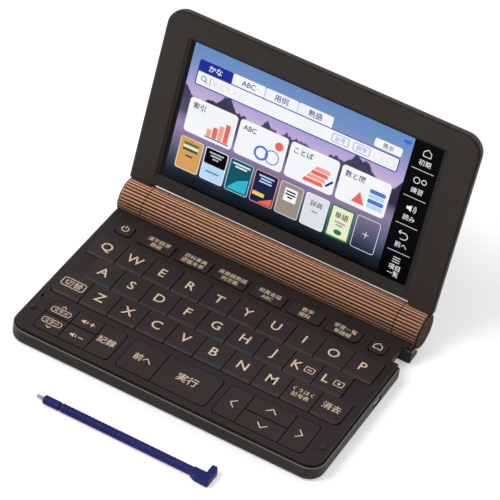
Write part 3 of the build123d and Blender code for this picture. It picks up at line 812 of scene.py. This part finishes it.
@dataclass
class KeyLegends:
    """Legends printed on the keys: one thin piece of ink on each key."""

    cap_height: float = 5.0
    cap_per_em: float = 0.727
    letter_shift: Point = (-0.43, 0.5)
    paired_shift: Point = (-2.9, -0.2)
    paired_icon: Point = (3.0, -0.3)
    stroke: float = 0.45
    thin: float = 0.35
    weight: float = 0.006
    line_weight: float = 0.005
    line_em: float = 2.7
    line_step: float = 3.1
    arrow_reach: float = 2.3

    FUNCTION_WORDS = (("漢字語源", "類語"), ("百科事典", "図鑑年表"), ("英単語熟語", "例文集"),
                      ("和英会話", "ABC"), ("数学", "理科"), ("学習一覧", "単語帳"))
    WORDS = {"history": ("記録", 4.2), "back": ("前へ", 4.3), "enter": ("実行", 5.0),
             "delete": ("消去", 4.3)}
    ARROWS = {"left": ((0.0, -0.1, 180),), "right": ((0.0, 0.2, 0),),
              "up_down": ((0.1, 5.0, 90), (0.4, -4.8, -90))}

    def letter(self, sheet: InkSheet, name: str) -> None:
        """Print a letter, with the small outlined sign beside K and L.

        Args:
            sheet: Sheet to draw on.
            name: Name of the key.
        """
        glyph = name[-1].upper()
        em = self.cap_height / self.cap_per_em
        paired = glyph in "KL"
        x, y = self.paired_shift if paired else self.letter_shift
        sheet.words(glyph, x, y - self.cap_height / 2, em, weight=self.weight, baseline=True)
        if paired:
            x, y = self.paired_icon
            sheet.hoop(rounded(x - 2.2, x + 2.2, y - 1.7, y + 1.7, 0.5), self.thin)
            if glyph == "K":
                sheet.bar(x - 1.1, x + 1.1, y - 0.25, y + 0.25)
            else:
                sheet.plate(circle(x, y, 0.65, 12))

    def two_lines(self, sheet: InkSheet, upper: str, lower: str) -> None:
        """Print two short lines of words."""
        for text, y in ((upper, self.line_step / 2), (lower, -self.line_step / 2)):
            sheet.words(text, 0, y, self.line_em, weight=self.line_weight)

    def chevron(self, sheet: InkSheet, x: float, y: float, turn: float, reach: float,
                width: float) -> None:
        """Print an open arrow head that points along an angle in degrees from +x.

        Args:
            sheet: Sheet to draw on.
            x: Middle of the arrow head.
            y: Middle of the arrow head.
            turn: Where it points.
            reach: Half its breadth.
            width: Width of the line.
        """
        way = Vector((math.cos(math.radians(turn)), math.sin(math.radians(turn))))
        side = Vector((-way.y, way.x))
        middle = Vector((x, y))
        ends = [middle - way * reach / 2 + side * reach, middle + way * reach / 2,
                middle - way * reach / 2 - side * reach]
        sheet.line([tuple(p) for p in ends], width)

    def power(self, sheet: InkSheet) -> None:
        """Print a broken ring with a bar in its gap."""
        sheet.line(arc(-0.2, 0.1, 1.55, 125, 415, 20), self.stroke)
        sheet.bar(-0.2 - self.stroke / 2, -0.2 + self.stroke / 2, 0.4, 2.2)

    def house(self, sheet: InkSheet, x: float, y: float, half: float, width: float) -> None:
        """Draw the outline of a small house.

        Args:
            sheet: Sheet to draw on.
            x: Middle of the house.
            y: Middle of the house.
            half: Half its breadth.
            width: Width of the line.
        """
        foot, eaves = y - half * 0.9, y + half * 0.25
        sheet.hoop([(x - half, foot), (x + half, foot), (x + half, eaves), (x, y + half * 1.05),
                    (x - half, eaves)], width)

    def speaker(self, sheet: InkSheet, x: float, y: float, size: float, width: float) -> None:
        """Draw a small loudspeaker with one wave.

        Args:
            sheet: Sheet to draw on.
            x: Middle of the sign.
            y: Middle of the sign.
            size: Half its breadth.
            width: Width of the wave's line.
        """
        neck, mouth = x - size * 0.45, x + size * 0.2
        sheet.plate([(x - size, y - size * 0.35), (neck, y - size * 0.35), (mouth, y - size * 0.8),
                     (mouth, y + size * 0.8), (neck, y + size * 0.35), (x - size, y + size * 0.35)])
        sheet.line(arc(x + size * 0.1, y, size * 0.75, -45, 45, 6), width)

    def font_size(self, sheet: InkSheet) -> None:
        """Print the framed signs for larger and smaller type.

        Args:
            sheet: Sheet to draw on.
        """
        for y, text, turn, tip in ((4.2, "文字大", 90, 7.2), (-3.1, "文字小", -90, -6.3)):
            sheet.hoop(rounded(-4.7, 4.5, y - 1.7, y + 1.7, 1.2), 0.32)
            sheet.words(text, -0.1, y, 2.3)
            self.chevron(sheet, -0.1, tip, turn, 1.1, self.thin)

    def volume(self, sheet: InkSheet) -> None:
        """Print loudspeakers with a plus and a minus.

        Args:
            sheet: Sheet to draw on.
        """
        louder, softer, half, reach = 5.1, -4.4, 0.2, 1.2
        for y in (louder, softer):
            self.speaker(sheet, -1.4, y, 1.5, self.thin)
            sheet.bar(0.9, 3.3, y - half, y + half)
        sheet.bar(1.9, 2.3, louder + half, louder + reach)
        sheet.bar(1.9, 2.3, louder - reach, louder - half)

    def draw(self, name: str, sheet: InkSheet) -> None:
        """Draw the legend of one key, round the middle of its top face.

        Args:
            name: Name of the key.
            sheet: Sheet to draw on.
        """
        kind = name.removeprefix("key_")
        if len(kind) == 1:
            self.letter(sheet, name)
        elif kind.startswith("function_"):
            self.two_lines(sheet, *self.FUNCTION_WORDS[int(kind[-1]) - 1])
        elif kind == "space":
            self.two_lines(sheet, "くうはく", "記号表")
        elif kind == "shift":
            sheet.hoop(rounded(-5.4, 5.6, -1.9, 3.4, 1.3), 0.38)
            sheet.words("切替", 0.1, 0.75, 3.9, stretch=1.1)
        elif kind == "power":
            self.power(sheet)
        elif kind == "home":
            self.house(sheet, -0.2, 0.2, 2.0, 0.42)
        elif kind == "font_size":
            self.font_size(sheet)
        elif kind == "volume":
            self.volume(sheet)
        elif kind in self.ARROWS:
            for x, y, turn in self.ARROWS[kind]:
                self.chevron(sheet, x, y, turn, self.arrow_reach, self.stroke)
        else:
            text, em = self.WORDS[kind]
            sheet.words(text, 0, 0.45, em, weight=self.weight)

    def build(self, keys: Iterable[str], ink: Material) -> None:
        """Print every key.

        Args:
            keys: Names of the key nodes.
            ink: Material of the ink.
        """
        for name in keys:
            low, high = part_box(name)
            sheet = InkSheet(Ink.LEGEND)
            self.draw(name, sheet)
            place = Matrix.Translation(((low.x + high.x) / 2, (low.y + high.y) / 2, high.z))
            sheet.piece("legend_" + name.removeprefix("key_"), place, {Ink.LEGEND: ink}, name,
                        "key_plastic")


@dataclass
class LitScreen:
    """Home page of the dictionary on the lit display, drawn just in front of the touch panel."""

    frame: Matrix
    front: float
    left: float = -59.2
    right: float = 58.5
    bottom: float = 16.25
    top: float = 80.6
    strip_width: float = 13.4
    margin: float = 3.9
    layer: float = 0.022
    card_bottom: float = 40.0
    card_top: float = 56.5
    card_step: float = 24.46
    card_gap: float = 1.25
    tile_bottom: float = 22.2
    tile_top: float = 37.5
    tile_gap: float = 1.1
    box_bottom: float = 62.5
    box_top: float = 69.35
    tab_top: float = 74.4
    sign_step: float = 13.16
    first_sign: float = 4.2
    sign_to_line: float = 8.2
    sign_stroke: float = 0.3
    settings_button: Box = (28.5, 41.3, 69.9, 73.9)
    charge_mark: Box = (40.6, 43.8, 76.9, 78.5)

    TAB_WORDS = ("かな", "ABC", "用例", "熟語")
    TAB_EDGES = (-39.3, -23.6, -7.8, 8.9)
    BUTTONS = ((10.0, 18.0, "記号", Ink.BLUE), (20.0, 27.9, "数字", Ink.BLUE),
               (29.9, 39.4, "消す", Ink.PALE))
    CARD_TITLES = ("索引", "ABC", "ことば", "数と図")
    STRIP = (("初期", ""), ("練習", ""), ("読み", ""), ("前へ", ""), ("項目", "一覧"))
    COVERS = ((Ink.TAN, Ink.CREAM, 0.3), (Ink.SKY, Ink.WHITE, 0.3), (Ink.TEAL, Ink.SKY, 0.3),
              (Ink.DEEP, Ink.BLUSH, 0.3), (Ink.TAUPE, Ink.PALE, 0.3), (Ink.PALE, Ink.WHITE, 0.3),
              (Ink.CREAM, Ink.GREEN, 0.8))

    def __post_init__(self) -> None:
        """Work out the edges that follow from the driving sizes and make the lit colours."""
        self.strip_left = self.right - self.strip_width
        self.content_left = self.left + self.margin
        self.content_right = self.strip_left - self.margin
        self.finishes = {ink: LitColour("lit_" + ink.name.lower(), ink.value).material()
                         for ink in Ink if ink is not Ink.LEGEND}

    def sheet(self, ink: Ink, level: int = 1) -> InkSheet:
        """Start a sheet some layers above the touch panel."""
        return InkSheet(ink, self.front + 0.01 + level * self.layer, self.layer * 0.8)

    def show(self, name: str, sheet: InkSheet) -> None:
        """Place one widget on the lid."""
        sheet.piece(name, self.frame, self.finishes, "lid", "display")

    def ground(self, sky: Material) -> None:
        """Lay the picture and the black strip at its right.

        Args:
            sky: Material of the picture.
        """
        sheet = self.sheet(Ink.WHITE, 0)
        sheet.bar(self.left, self.strip_left, self.bottom, self.top)
        sheet.piece("screen_sky", self.frame, {Ink.WHITE: sky}, "lid", "display")
        strip = self.sheet(Ink.BLACK, 0)
        strip.bar(self.strip_left, self.right, self.bottom, self.top)
        self.show("screen_strip", strip)

    def search(self) -> None:
        """Draw the four tabs and the search box."""
        sheet = self.sheet(Ink.NAVY)
        edges = (self.content_left - 0.1, *self.TAB_EDGES)
        sheet.plate(rounded(edges[0], edges[1] + 0.1, self.box_top - 1.5, self.tab_top, 1.0))
        sheet.use(Ink.WHITE)
        for x0, x1 in zip(edges[1:], edges[2:]):
            sheet.plate(rounded(x0 + 0.12, x1 - 0.12, self.box_top - 1.0, self.tab_top, 0.8))
        sheet.use(Ink.WHITE, self.layer)
        x0, x1 = self.content_left - 0.1, self.content_right + 0.1
        y0, y1 = self.box_bottom, self.box_top
        sheet.plate(rounded(x0, x1, y0, y1, 0.9))
        for i, (name, a, b) in enumerate(zip(self.TAB_WORDS, edges, edges[1:])):
            sheet.use(Ink.NAVY if i else Ink.WHITE)
            sheet.words(name, (a + b) / 2, (self.box_top + self.tab_top) / 2, 3.4, weight=0.01)
        sheet.use(Ink.NAVY, self.layer)
        sheet.hoop(rounded(x0, x1, y0, y1, 0.9), 0.45)
        middle = (y0 + y1) / 2
        glass = x0 + 3.6
        sheet.use(Ink.DEEP)
        sheet.hoop(circle(glass, middle + 0.3, 1.25, 20), self.sign_stroke)
        sheet.line([(glass + 0.85, middle - 0.55), (glass + 1.8, middle - 1.5)], 0.35)
        sheet.bar(glass + 3.1, glass + 3.35, middle - 1.9, middle + 1.9)
        sheet.use(Ink.PALE)
        sheet.words("単語を入力", glass + 4.2, middle, 3.2, left=True)
        for a, b, text, ink in self.BUTTONS:
            sheet.use(ink)
            sheet.hoop(rounded(a, b, middle - 2.0, middle + 2.0, 0.8), 0.25)
            sheet.words(text, (a + b) / 2, middle, 2.5)
        self.show("screen_search", sheet)

    def status(self) -> None:
        """Draw the settings button and the small charge mark above the search box."""
        sheet = self.sheet(Ink.WHITE)
        x0, x1, y0, y1 = self.settings_button
        sheet.plate(rounded(x0, x1, y0, y1, 0.8))
        sheet.use(Ink.DEEP, self.layer)
        sheet.words("表示", (x0 + x1) / 2, (y0 + y1) / 2, 2.7, weight=0.006)
        sheet.use(Ink.MARK)
        x0, x1, y0, y1 = self.charge_mark
        sheet.plate(rounded(x0, x1, y0, y1, 0.3))
        sheet.bar(x1, x1 + 0.3, y0 + 0.4, y1 - 0.4)
        self.show("screen_status", sheet)

    def card_art(self, sheet: InkSheet, number: int, x: float, y: float) -> None:
        """Draw the plain figure of one card.

        Args:
            sheet: Sheet to draw on.
            number: Which card, from 0.
            x: Left edge of the card.
            y: Lower edge of the card.
        """
        if number == 0:
            for i, height in enumerate((3.4, 5.2, 7.0, 8.8)):
                sheet.use(Ink.CORAL if i % 2 else Ink.BLUSH)
                sheet.bar(x + 10.6 + i * 2.7, x + 12.8 + i * 2.7, y + 1.9, y + 1.9 + height)
            sheet.use(Ink.NAVY)
            sheet.bar(x + 10.0, x + 21.6, y + 1.2, y + 1.7)
        elif number == 1:
            sheet.use(Ink.BLUE)
            sheet.hoop(circle(x + 12.4, y + 5.0, 3.4), 1.0)
            sheet.hoop(circle(x + 17.6, y + 5.0, 3.4), 0.5)
            sheet.use(Ink.CORAL)
            sheet.plate(circle(x + 19.6, y + 11.2, 2.0))
        elif number == 2:
            for i in range(4):
                sheet.use(Ink.BLUSH if i % 2 else Ink.CORAL)
                low = y + 1.8 + i * 2.2
                left, right = x + 8.6 + i * 1.4, x + 18.4 + i * 0.7
                sheet.plate([(left, low), (right, low), (right - 0.6, low + 1.8),
                             (left + 0.7, low + 1.8)])
            sheet.use(Ink.NAVY)
            sheet.line([(x + 19.4, y + 3.2), (x + 22.2, y + 6.4)], 1.0)
        else:
            sheet.use(Ink.CORAL)
            sheet.plate([(x + 7.4, y + 2.0), (x + 13.4, y + 2.0), (x + 10.4, y + 7.6)])
            for i in range(4):
                sheet.use(Ink.BLUE if i % 2 else Ink.SKY)
                sheet.plate(rounded(x + 14.4, x + 21.8, y + 2.2 + i * 2.3, y + 4.1 + i * 2.3, 0.7))

    def cards(self) -> None:
        """Draw the four large cards."""
        for number, title in enumerate(self.CARD_TITLES):
            x = self.content_left + number * self.card_step
            sheet = self.sheet(Ink.WHITE)
            sheet.plate(rounded(x, x + self.card_step - self.card_gap, self.card_bottom,
                                self.card_top, 1.6))
            sheet.use(Ink.DEEP, self.layer)
            sheet.words(title, x + 1.9, self.card_top - 3.3, 3.2, weight=0.012, left=True)
            self.card_art(sheet, number, x, self.card_bottom)
            self.show("screen_card_%d" % (number + 1), sheet)

    def tile_art(self, sheet: InkSheet, number: int, x0: float, x1: float) -> None:
        """Draw the plain cover of one small tile between its left and right edges.

        Args:
            sheet: Sheet to draw on.
            number: Which tile, from 0.
            x0: Left edge.
            x1: Right edge.
        """
        y0, y1 = self.tile_bottom, self.tile_top
        middle = (x0 + x1) / 2

        def rows(ink: Ink, top: float, *halves: float) -> None:
            """Draw centred bars that stand for lines of words.

            Args:
                ink: Their colour.
                top: Upper edge of the first bar.
                *halves: Half the length of each bar.
            """
            sheet.use(ink)
            for i, half in enumerate(halves):
                sheet.bar(middle - half, middle + half, top - 0.7 - 1.35 * i, top - 1.35 * i)

        if number == 0:
            for i, ink in enumerate((Ink.GREEN, Ink.CREAM, Ink.TEAL)):
                sheet.use(ink)
                sheet.bar(x0 + 2.0, x1 - 2.0, y1 - 3.2 - 1.4 * i, y1 - 2.1 - 1.4 * i)
            sheet.use(Ink.CORAL)
            sheet.plate(circle(middle, y1 - 1.3, 0.6, 12))
            rows(Ink.DEEP, y1 - 8.0, 1.6)
        elif number == 1:
            sheet.use(Ink.BLACK)
            sheet.plate(rounded(x0 + 0.4, x1 - 0.4, (y0 + y1) / 2, y1 - 0.4, 0.8))
            rows(Ink.PALE, y1 - 1.7, 3.4, 2.6, 1.4)
            rows(Ink.BLUE, y0 + 4.6, 3.2)
        elif number == 2:
            sheet.use(Ink.CYAN)
            sheet.plate([(x0 + 1.0, y0 + 1.0), (x1 - 1.0, y0 + 1.0), (x1 - 1.0, y0 + 8.0),
                         (x0 + 5.0, y0 + 5.6)])
            rows(Ink.WHITE, y1 - 1.6, 4.2, 2.8)
        elif number == 3:
            rows(Ink.SKY, y1 - 1.8, 3.6, 2.6, 3.0)
            sheet.use(Ink.YELLOW)
            sheet.bar(x0 + 0.8, x0 + 6.4, y0 + 3.4, y0 + 5.2)
            sheet.use(Ink.CORAL)
            sheet.plate([(x0 + 4.0, y0 + 0.8), (x1 - 0.8, y0 + 0.8), (x1 - 0.8, y0 + 4.4)])
        elif number == 4:
            sheet.use(Ink.WHITE)
            sheet.bar(x0 + 2.6, x1 - 2.6, y1 - 8.4, y1 - 2.2)
            sheet.use(Ink.WHITE, self.layer)
            rows(Ink.BLACK, y1 - 3.4, 2.2, 2.4, 1.2)
        elif number == 5:
            sheet.use(Ink.BLACK)
            sheet.words("辞典", middle, y1 - 4.2, 3.0)
            rows(Ink.GREY, y1 - 7.4, 1.4)
        else:
            sheet.use(Ink.BLACK)
            sheet.words("単語", middle, y1 - 4.4, 3.2, weight=0.01)
            rows(Ink.GREY, y1 - 7.2, 2.6, 1.6)
            sheet.use(Ink.GREEN)
            sheet.plate([(middle + 1.9 * a, y0 + 3.2 + 1.2 * b) for a, b in circle(0, 0, 1.0, 20)])

    def tiles(self) -> None:
        """Draw the row of small covers and the empty place with a plus at its end."""
        step = self.card_step / 2
        for number in range(len(self.COVERS) + 1):
            x0 = self.content_left + number * step + 0.05
            x1 = x0 + step - self.tile_gap
            outline = rounded(x0, x1, self.tile_bottom, self.tile_top, 1.1)
            if number < len(self.COVERS):
                base, edge, edge_width = self.COVERS[number]
                sheet = self.sheet(base)
                sheet.plate(outline)
                sheet.use(edge, self.layer)
                sheet.hoop(outline, edge_width)
                self.tile_art(sheet, number, x0, x1)
            else:
                sheet = self.sheet(Ink.WHITE)
                sheet.hoop(outline, 0.22)
                x, y, half, reach = (x0 + x1) / 2, (self.tile_bottom + self.tile_top) / 2, 0.13, 1.5
                sheet.bar(x - reach, x + reach, y - half, y + half)
                sheet.bar(x - half, x + half, y + half, y + reach)
                sheet.bar(x - half, x + half, y - reach, y - half)
            self.show("screen_tile_%d" % (number + 1), sheet)

    def strip(self) -> None:
        """Draw the touch keys of the black strip: signs, words and the lines between them."""
        middle = (self.strip_left + self.right) / 2 + 0.1
        stroke = self.sign_stroke
        sheet = self.sheet(Ink.WHITE)
        marks = KeyLegends()
        signs = [self.top - self.first_sign - i * self.sign_step for i in range(len(self.STRIP))]
        for sign in signs[:-1]:
            line = sign - self.sign_to_line
            sheet.bar(middle - 5.2, middle + 5.1, line - 0.1, line + 0.1)
        marks.house(sheet, middle, signs[0], 1.9, stroke)
        sheet.hoop(circle(middle - 1.3, signs[1], 1.5, 20), stroke)
        sheet.hoop(circle(middle + 2.0, signs[1] + 0.3, 1.2, 18), stroke)
        marks.speaker(sheet, middle - 0.4, signs[2], 1.9, stroke)
        sheet.line(arc(middle - 0.2, signs[2], 2.3, -45, 45, 8), stroke)
        bend = arc(middle + 0.4, signs[3] - 0.3, 1.5, 80, -90, 10)
        sheet.line([(middle - 1.9, signs[3] + 1.2), (middle + 0.4, signs[3] + 1.2), *bend,
                    (middle - 1.2, signs[3] - 1.8)], stroke)
        marks.chevron(sheet, middle - 1.9, signs[3] + 1.2, 180, 0.9, stroke)
        for i in range(3):
            low = signs[4] + 2.2 - i * 1.1
            sheet.bar(middle - 1.7, middle + 1.7, low, low + 0.28)
        for sign, (upper, lower) in zip(signs, self.STRIP):
            height = sign - (2.4 if lower else 4.6)
            sheet.words(upper, middle, height, 2.9)
            if lower:
                sheet.words(lower, middle, height - 2.9, 2.7)
        self.show("screen_strip_signs", sheet)

    def build(self) -> None:
        """Light the whole page."""
        self.ground(LitSky(self.bottom * MM, self.top * MM).material())
        self.search()
        self.status()
        self.cards()
        self.tiles()
        self.strip()


# ------------------------------------------------------------------- studio
def eye_ray(tree: NodeTree) -> Node:
    """Tell the rays that make the picture from those that only light the scene.

    Args:
        tree: The node tree that takes the nodes.

    Returns:
        A node whose value is 1 for camera, glossy and transmission rays and 0 for others.
    """
    ray = add_node(tree, "ShaderNodeLightPath")
    mirrored = add_node(tree, "ShaderNodeMath", {
        0: ray.outputs["Is Glossy Ray"], 1: ray.outputs["Is Transmission Ray"]}, operation="MAXIMUM")
    return add_node(tree, "ShaderNodeMath", {0: ray.outputs["Is Camera Ray"], 1: mirrored},
                    operation="MAXIMUM")


@dataclass(frozen=True)
class SoftLamp:
    """Square soft lamp that points at the object."""

    name: str
    place_m: Place
    size_m: float
    power_w: float
    aim_m: Place = (0, 0.03, 0.03)

    def hang(self) -> None:
        """Create the lamp."""
        data = bpy.data.lights.new(self.name, "AREA")
        data.shape = "SQUARE"
        data.size = self.size_m
        data.energy = self.power_w
        lamp = bpy.data.objects.new(self.name, data)
        bpy.context.collection.objects.link(lamp)
        lamp.location = self.place_m
        aim = Vector(self.aim_m) - Vector(self.place_m)
        lamp.rotation_euler = aim.to_track_quat("-Z", "Y").to_euler()


@dataclass
class Studio:
    """Pale floor, soft lamps and the camera.

    The camera's place is measured from the middle of the base's front edge, on the table.
    """

    front_to_middle_mm: float = 48.898
    lens_mm: float = 221.601
    sensor_mm: float = 36.0
    clip_m: float = 0.01
    camera_mm: Place = (373.67, -800.06, 895.04)
    forward: Place = (-0.29258, 0.68073, -0.67157)
    right: Place = (0.86841, 0.48317, 0.11142)
    floor_half_m: float = 6.0
    floor_fade_m: Point = (0.3, 1.3)
    floor_glow: float = 0.35
    fibre_mm: float = 2.5
    sky_light: float = 0.5

    LAMPS = (SoftLamp("lamp_front_left", (-0.8, -0.7, 1.4), 0.9, 15.0),
             SoftLamp("lamp_rear_right", (1.3, 1.2, 0.7), 0.7, 7.0))

    def camera(self) -> None:
        """Create the camera and make it the scene's."""
        data = bpy.data.cameras.new("camera")
        data.lens = self.lens_mm
        data.sensor_width = self.sensor_mm
        data.clip_start = self.clip_m
        camera = bpy.data.objects.new("camera", data)
        bpy.context.collection.objects.link(camera)
        back = -Vector(self.forward).normalized()
        right = (Vector(self.right) - back * back.dot(Vector(self.right))).normalized()
        turn = Matrix((right, back.cross(right), back)).transposed().to_4x4()
        x, y, z = self.camera_mm
        place = Vector((x, y - self.front_to_middle_mm, z)) * MM
        camera.matrix_world = Matrix.Translation(place) @ turn
        bpy.context.scene.camera = camera

    def paper(self) -> Material:
        """Build the floor's paper.

        Returns:
            Matt paper that keeps a soft shadow near the object and is plain white far away.
        """
        material, tree, place = new_material("floor_paper")
        white, black = linear("#ffffff"), linear("#000000")
        fibre = add_node(tree, "ShaderNodeTexNoise", {
            "Vector": place, "Scale": scale(self.fibre_mm), "Detail": 2.0})
        bump = add_node(tree, "ShaderNodeBump", {"Height": fibre, "Strength": 0.1, "Distance": 0.02 * MM})
        paper = add_node(tree, "ShaderNodeBsdfPrincipled", {
            "Base Color": linear("#f4f4f4"), "Roughness": 0.9, "Specular IOR Level": 0.1, "Normal": bump})
        eye = eye_ray(tree)
        glow = add_node(tree, "ShaderNodeEmission", {"Color": white, "Strength": self.floor_glow})
        none = add_node(tree, "ShaderNodeEmission", {"Color": black, "Strength": 0.0})
        seen_glow = add_node(tree, "ShaderNodeMixShader", {0: eye, 1: none, 2: glow})
        near = add_node(tree, "ShaderNodeAddShader", {0: paper, 1: seen_glow})
        reach = add_node(tree, "ShaderNodeVectorMath", {0: place}, operation="LENGTH")
        start, end = self.floor_fade_m
        far = add_node(tree, "ShaderNodeMapRange", {"Value": reach, "From Min": start, "From Max": end},
                       interpolation_type="SMOOTHSTEP")
        fade = add_node(tree, "ShaderNodeMath", {0: far, 1: eye}, operation="MULTIPLY")
        plain = add_node(tree, "ShaderNodeEmission", {"Color": white, "Strength": 1.0})
        shader = add_node(tree, "ShaderNodeMixShader", {0: fade, 1: near, 2: plain})
        return surfaced(material, shader)

    def floor(self) -> None:
        """Lay the seamless floor."""
        mesh = bpy.data.meshes.new("floor")
        half = self.floor_half_m
        corners = [(-half, -half, 0), (half, -half, 0), (half, half, 0), (-half, half, 0)]
        mesh.from_pydata(corners, [], [(0, 1, 2, 3)])
        mesh.materials.append(self.paper())
        floor = bpy.data.objects.new("floor", mesh)
        bpy.context.collection.objects.link(floor)

    def world(self) -> None:
        """Surround the object with white: full for the eye and mirrors, softer as a light."""
        world = bpy.data.worlds.new("studio")
        bpy.context.scene.world = world
        world.use_nodes = True
        tree = world.node_tree
        tree.nodes.clear()
        white = linear("#ffffff")
        soft = add_node(tree, "ShaderNodeBackground", {"Color": white, "Strength": self.sky_light})
        full = add_node(tree, "ShaderNodeBackground", {"Color": white, "Strength": 1.0})
        both = add_node(tree, "ShaderNodeMixShader", {0: eye_ray(tree), 1: soft, 2: full})
        add_node(tree, "ShaderNodeOutputWorld", {"Surface": both})

    def build(self) -> None:
        """Set up camera, floor, world and lamps."""
        self.camera()
        self.floor()
        self.world()
        for lamp in self.LAMPS:
            lamp.hang()


# ------------------------------------------------------------- sub-assemblies
@dataclass
class Base:
    """Keyboard base: case, keys, barrel with its cells, board, screws and pads."""

    axis: Vector
    nodes: dict[str, Object]
    board_thickness: float = 1.0
    mask_thickness: float = 0.02
    rim_bevel: float = 0.3
    face_gap: float = 0.01
    deck_edge: float = 0.4
    rib_depth: float = 0.45
    disc_thickness: float = 0.55

    def copper(self) -> Material:
        """Make the paint of the ribbed barrel from its size in the frame.

        Returns:
            The copper paint's material.
        """
        _, knuckles_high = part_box("hinge_knuckles")
        barrel_low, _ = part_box("hinge_barrel")
        radius = self.axis.z - barrel_low.z
        # Crest is a painted highlight, flank the paint's middle, valley a painted shade, disc the end discs'
        # own dark plastic.
        return CopperPaint("copper_paint", "#976f57", "#694532", "#160b06", "#302319", self.axis, radius,
                           radius - self.rib_depth * MM,
                           knuckles_high.x - self.disc_thickness * MM).material()

    def dress(self) -> None:
        """Give every node of the base its finish."""
        up = Vector((0, 0, 1))
        _, tray_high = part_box("lower_case")
        _, deck_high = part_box("upper_case")
        # Painted highlight: the lower case's rim bevel is drawn pale, as a line of light along it.
        rim_highlight = PaintedLightBand(up, tray_high.z - self.rim_bevel * MM, tray_high.z - self.face_gap * MM, "#7a706b")
        # Painted shade: the upper case's sides and the groove under the deck's edge are drawn near black.
        groove_shade = PaintedLightBand(up, 0.0, deck_high.z - self.deck_edge * MM, "#100e0d")
        # Painted shade: the keys' sides below the deck's top are drawn near black, as the dark gaps between
        # keys.
        key_gap_shade = PaintedLightBand(up, 0.0, deck_high.z, "#0e0c0b")
        tray = MouldedAbs("tray_abs", "#2c2624", "#282220", rim_highlight).material()
        case = MouldedAbs("case_abs", "#2c2624", "#282220", groove_shade).material()
        key = MouldedAbs("key_abs", "#312b29", "#2d2725", key_gap_shade, grain_mm=0.35).material()
        copper = self.copper()
        board_low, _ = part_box("main_board")
        cell_low, cell_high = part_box("batteries")
        dome_base = board_low.z + (self.board_thickness + self.mask_thickness) * MM
        pads = SmoothPolymer("pad_rubber", "#2a2422", "#26201f", 0.6, 0.3)
        keys = [name for name in self.nodes if name.startswith("key_")]
        finishes = {"lower_case": tray, "upper_case": case, "hinge_barrel": copper,
                    "battery_cover": copper, "hinge_knuckles": copper,
                    "main_board": MaskedBoard(dome_base).material(),
                    "batteries": CellSleeve(cell_low.x, cell_high.x).material(),
                    "case_screws": PlatedSteel().material(), "rubber_pads": pads.material(),
                    **{name: key for name in keys}}
        for name, finish in finishes.items():
            dress(self.nodes[name], finish)
        KeyLegends().build(keys, PadInk().material())


@dataclass
class Lid:
    """Leaning lid: covers, touch panel, display and what the display shows."""

    axis: Vector
    lean: float
    nodes: dict[str, Object]
    face: float = 0.1
    face_gap: float = 0.03
    window_depth: float = 0.8

    def frame(self) -> Matrix:
        """Give the lid's own frame: x along the hinge, y up the lid, z towards the user."""
        tilt = Matrix.Rotation(math.radians(90 - self.lean), 4, "X")
        return Matrix.Translation((0.0, self.axis.y, self.axis.z)) @ tilt

    def dress(self) -> None:
        """Give the lid's nodes their finishes and light the screen."""
        shell = MouldedAbs("lid_abs", "#36302d", "#322c29").material()
        frame = self.frame()
        normal = frame.to_3x3() @ Vector((0, 0, 1))
        level = frame.translation.dot(normal) + self.face * MM
        # Painted shade: the window's recess walls round the screen are drawn darker than the bezel's face.
        window_shade = PaintedLightBand(normal, level - self.window_depth * MM, level - self.face_gap * MM, "#292422")
        bezel = MouldedAbs("bezel_abs", "#36302d", "#322c29", window_shade).material()
        glass = SmoothPolymer("touch_glass", "#050506", "#040405", 0.09, 0.1).material()
        back = SmoothPolymer("display_frame", "#2b2d31", "#242629", 0.4).material()
        for name, finish in (("lid_rear_cover", shell), ("lid_bezel", bezel), ("touch_panel", glass),
                             ("display_module", back)):
            dress(self.nodes[name], finish)
        to_lid = frame.inverted()
        front = max((to_lid @ v.co).z for v in self.nodes["touch_panel"].data.vertices) / MM
        LitScreen(frame, front).build()


@dataclass
class Stylus:
    """Loose stylus with a ringed grip and a pale tip."""

    nodes: dict[str, Object]

    def dress(self) -> None:
        """Give both nodes their finishes."""
        body = SmoothPolymer("stylus_blue", "#242969", "#202560", 0.42, 0.1, unevenness_mm=1.2)
        tip = SmoothPolymer("tip_grey", "#a3a3a0", "#96969a", 0.35)
        dress(self.nodes["stylus_body"], body.material())
        dress(self.nodes["stylus_tip"], tip.material())


def main() -> None:
    """Build the whole scene round the frame."""
    logging.basicConfig(level=logging.INFO, format="%(message)s")
    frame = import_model()
    hinge = next(joint for joint in frame["joints"] if joint["name"] == "lid_hinge")
    axis = Vector(hinge["pos_m"])
    lean = -hinge["range_deg"][0] - 90
    Studio().build()
    Base(axis, frame["nodes"]).dress()
    Lid(axis, lean, frame["nodes"]).dress()
    Stylus(frame["nodes"]).dress()
    bpy.context.scene.view_settings.view_transform = "Standard"


if __name__ == "__main__":
    main()
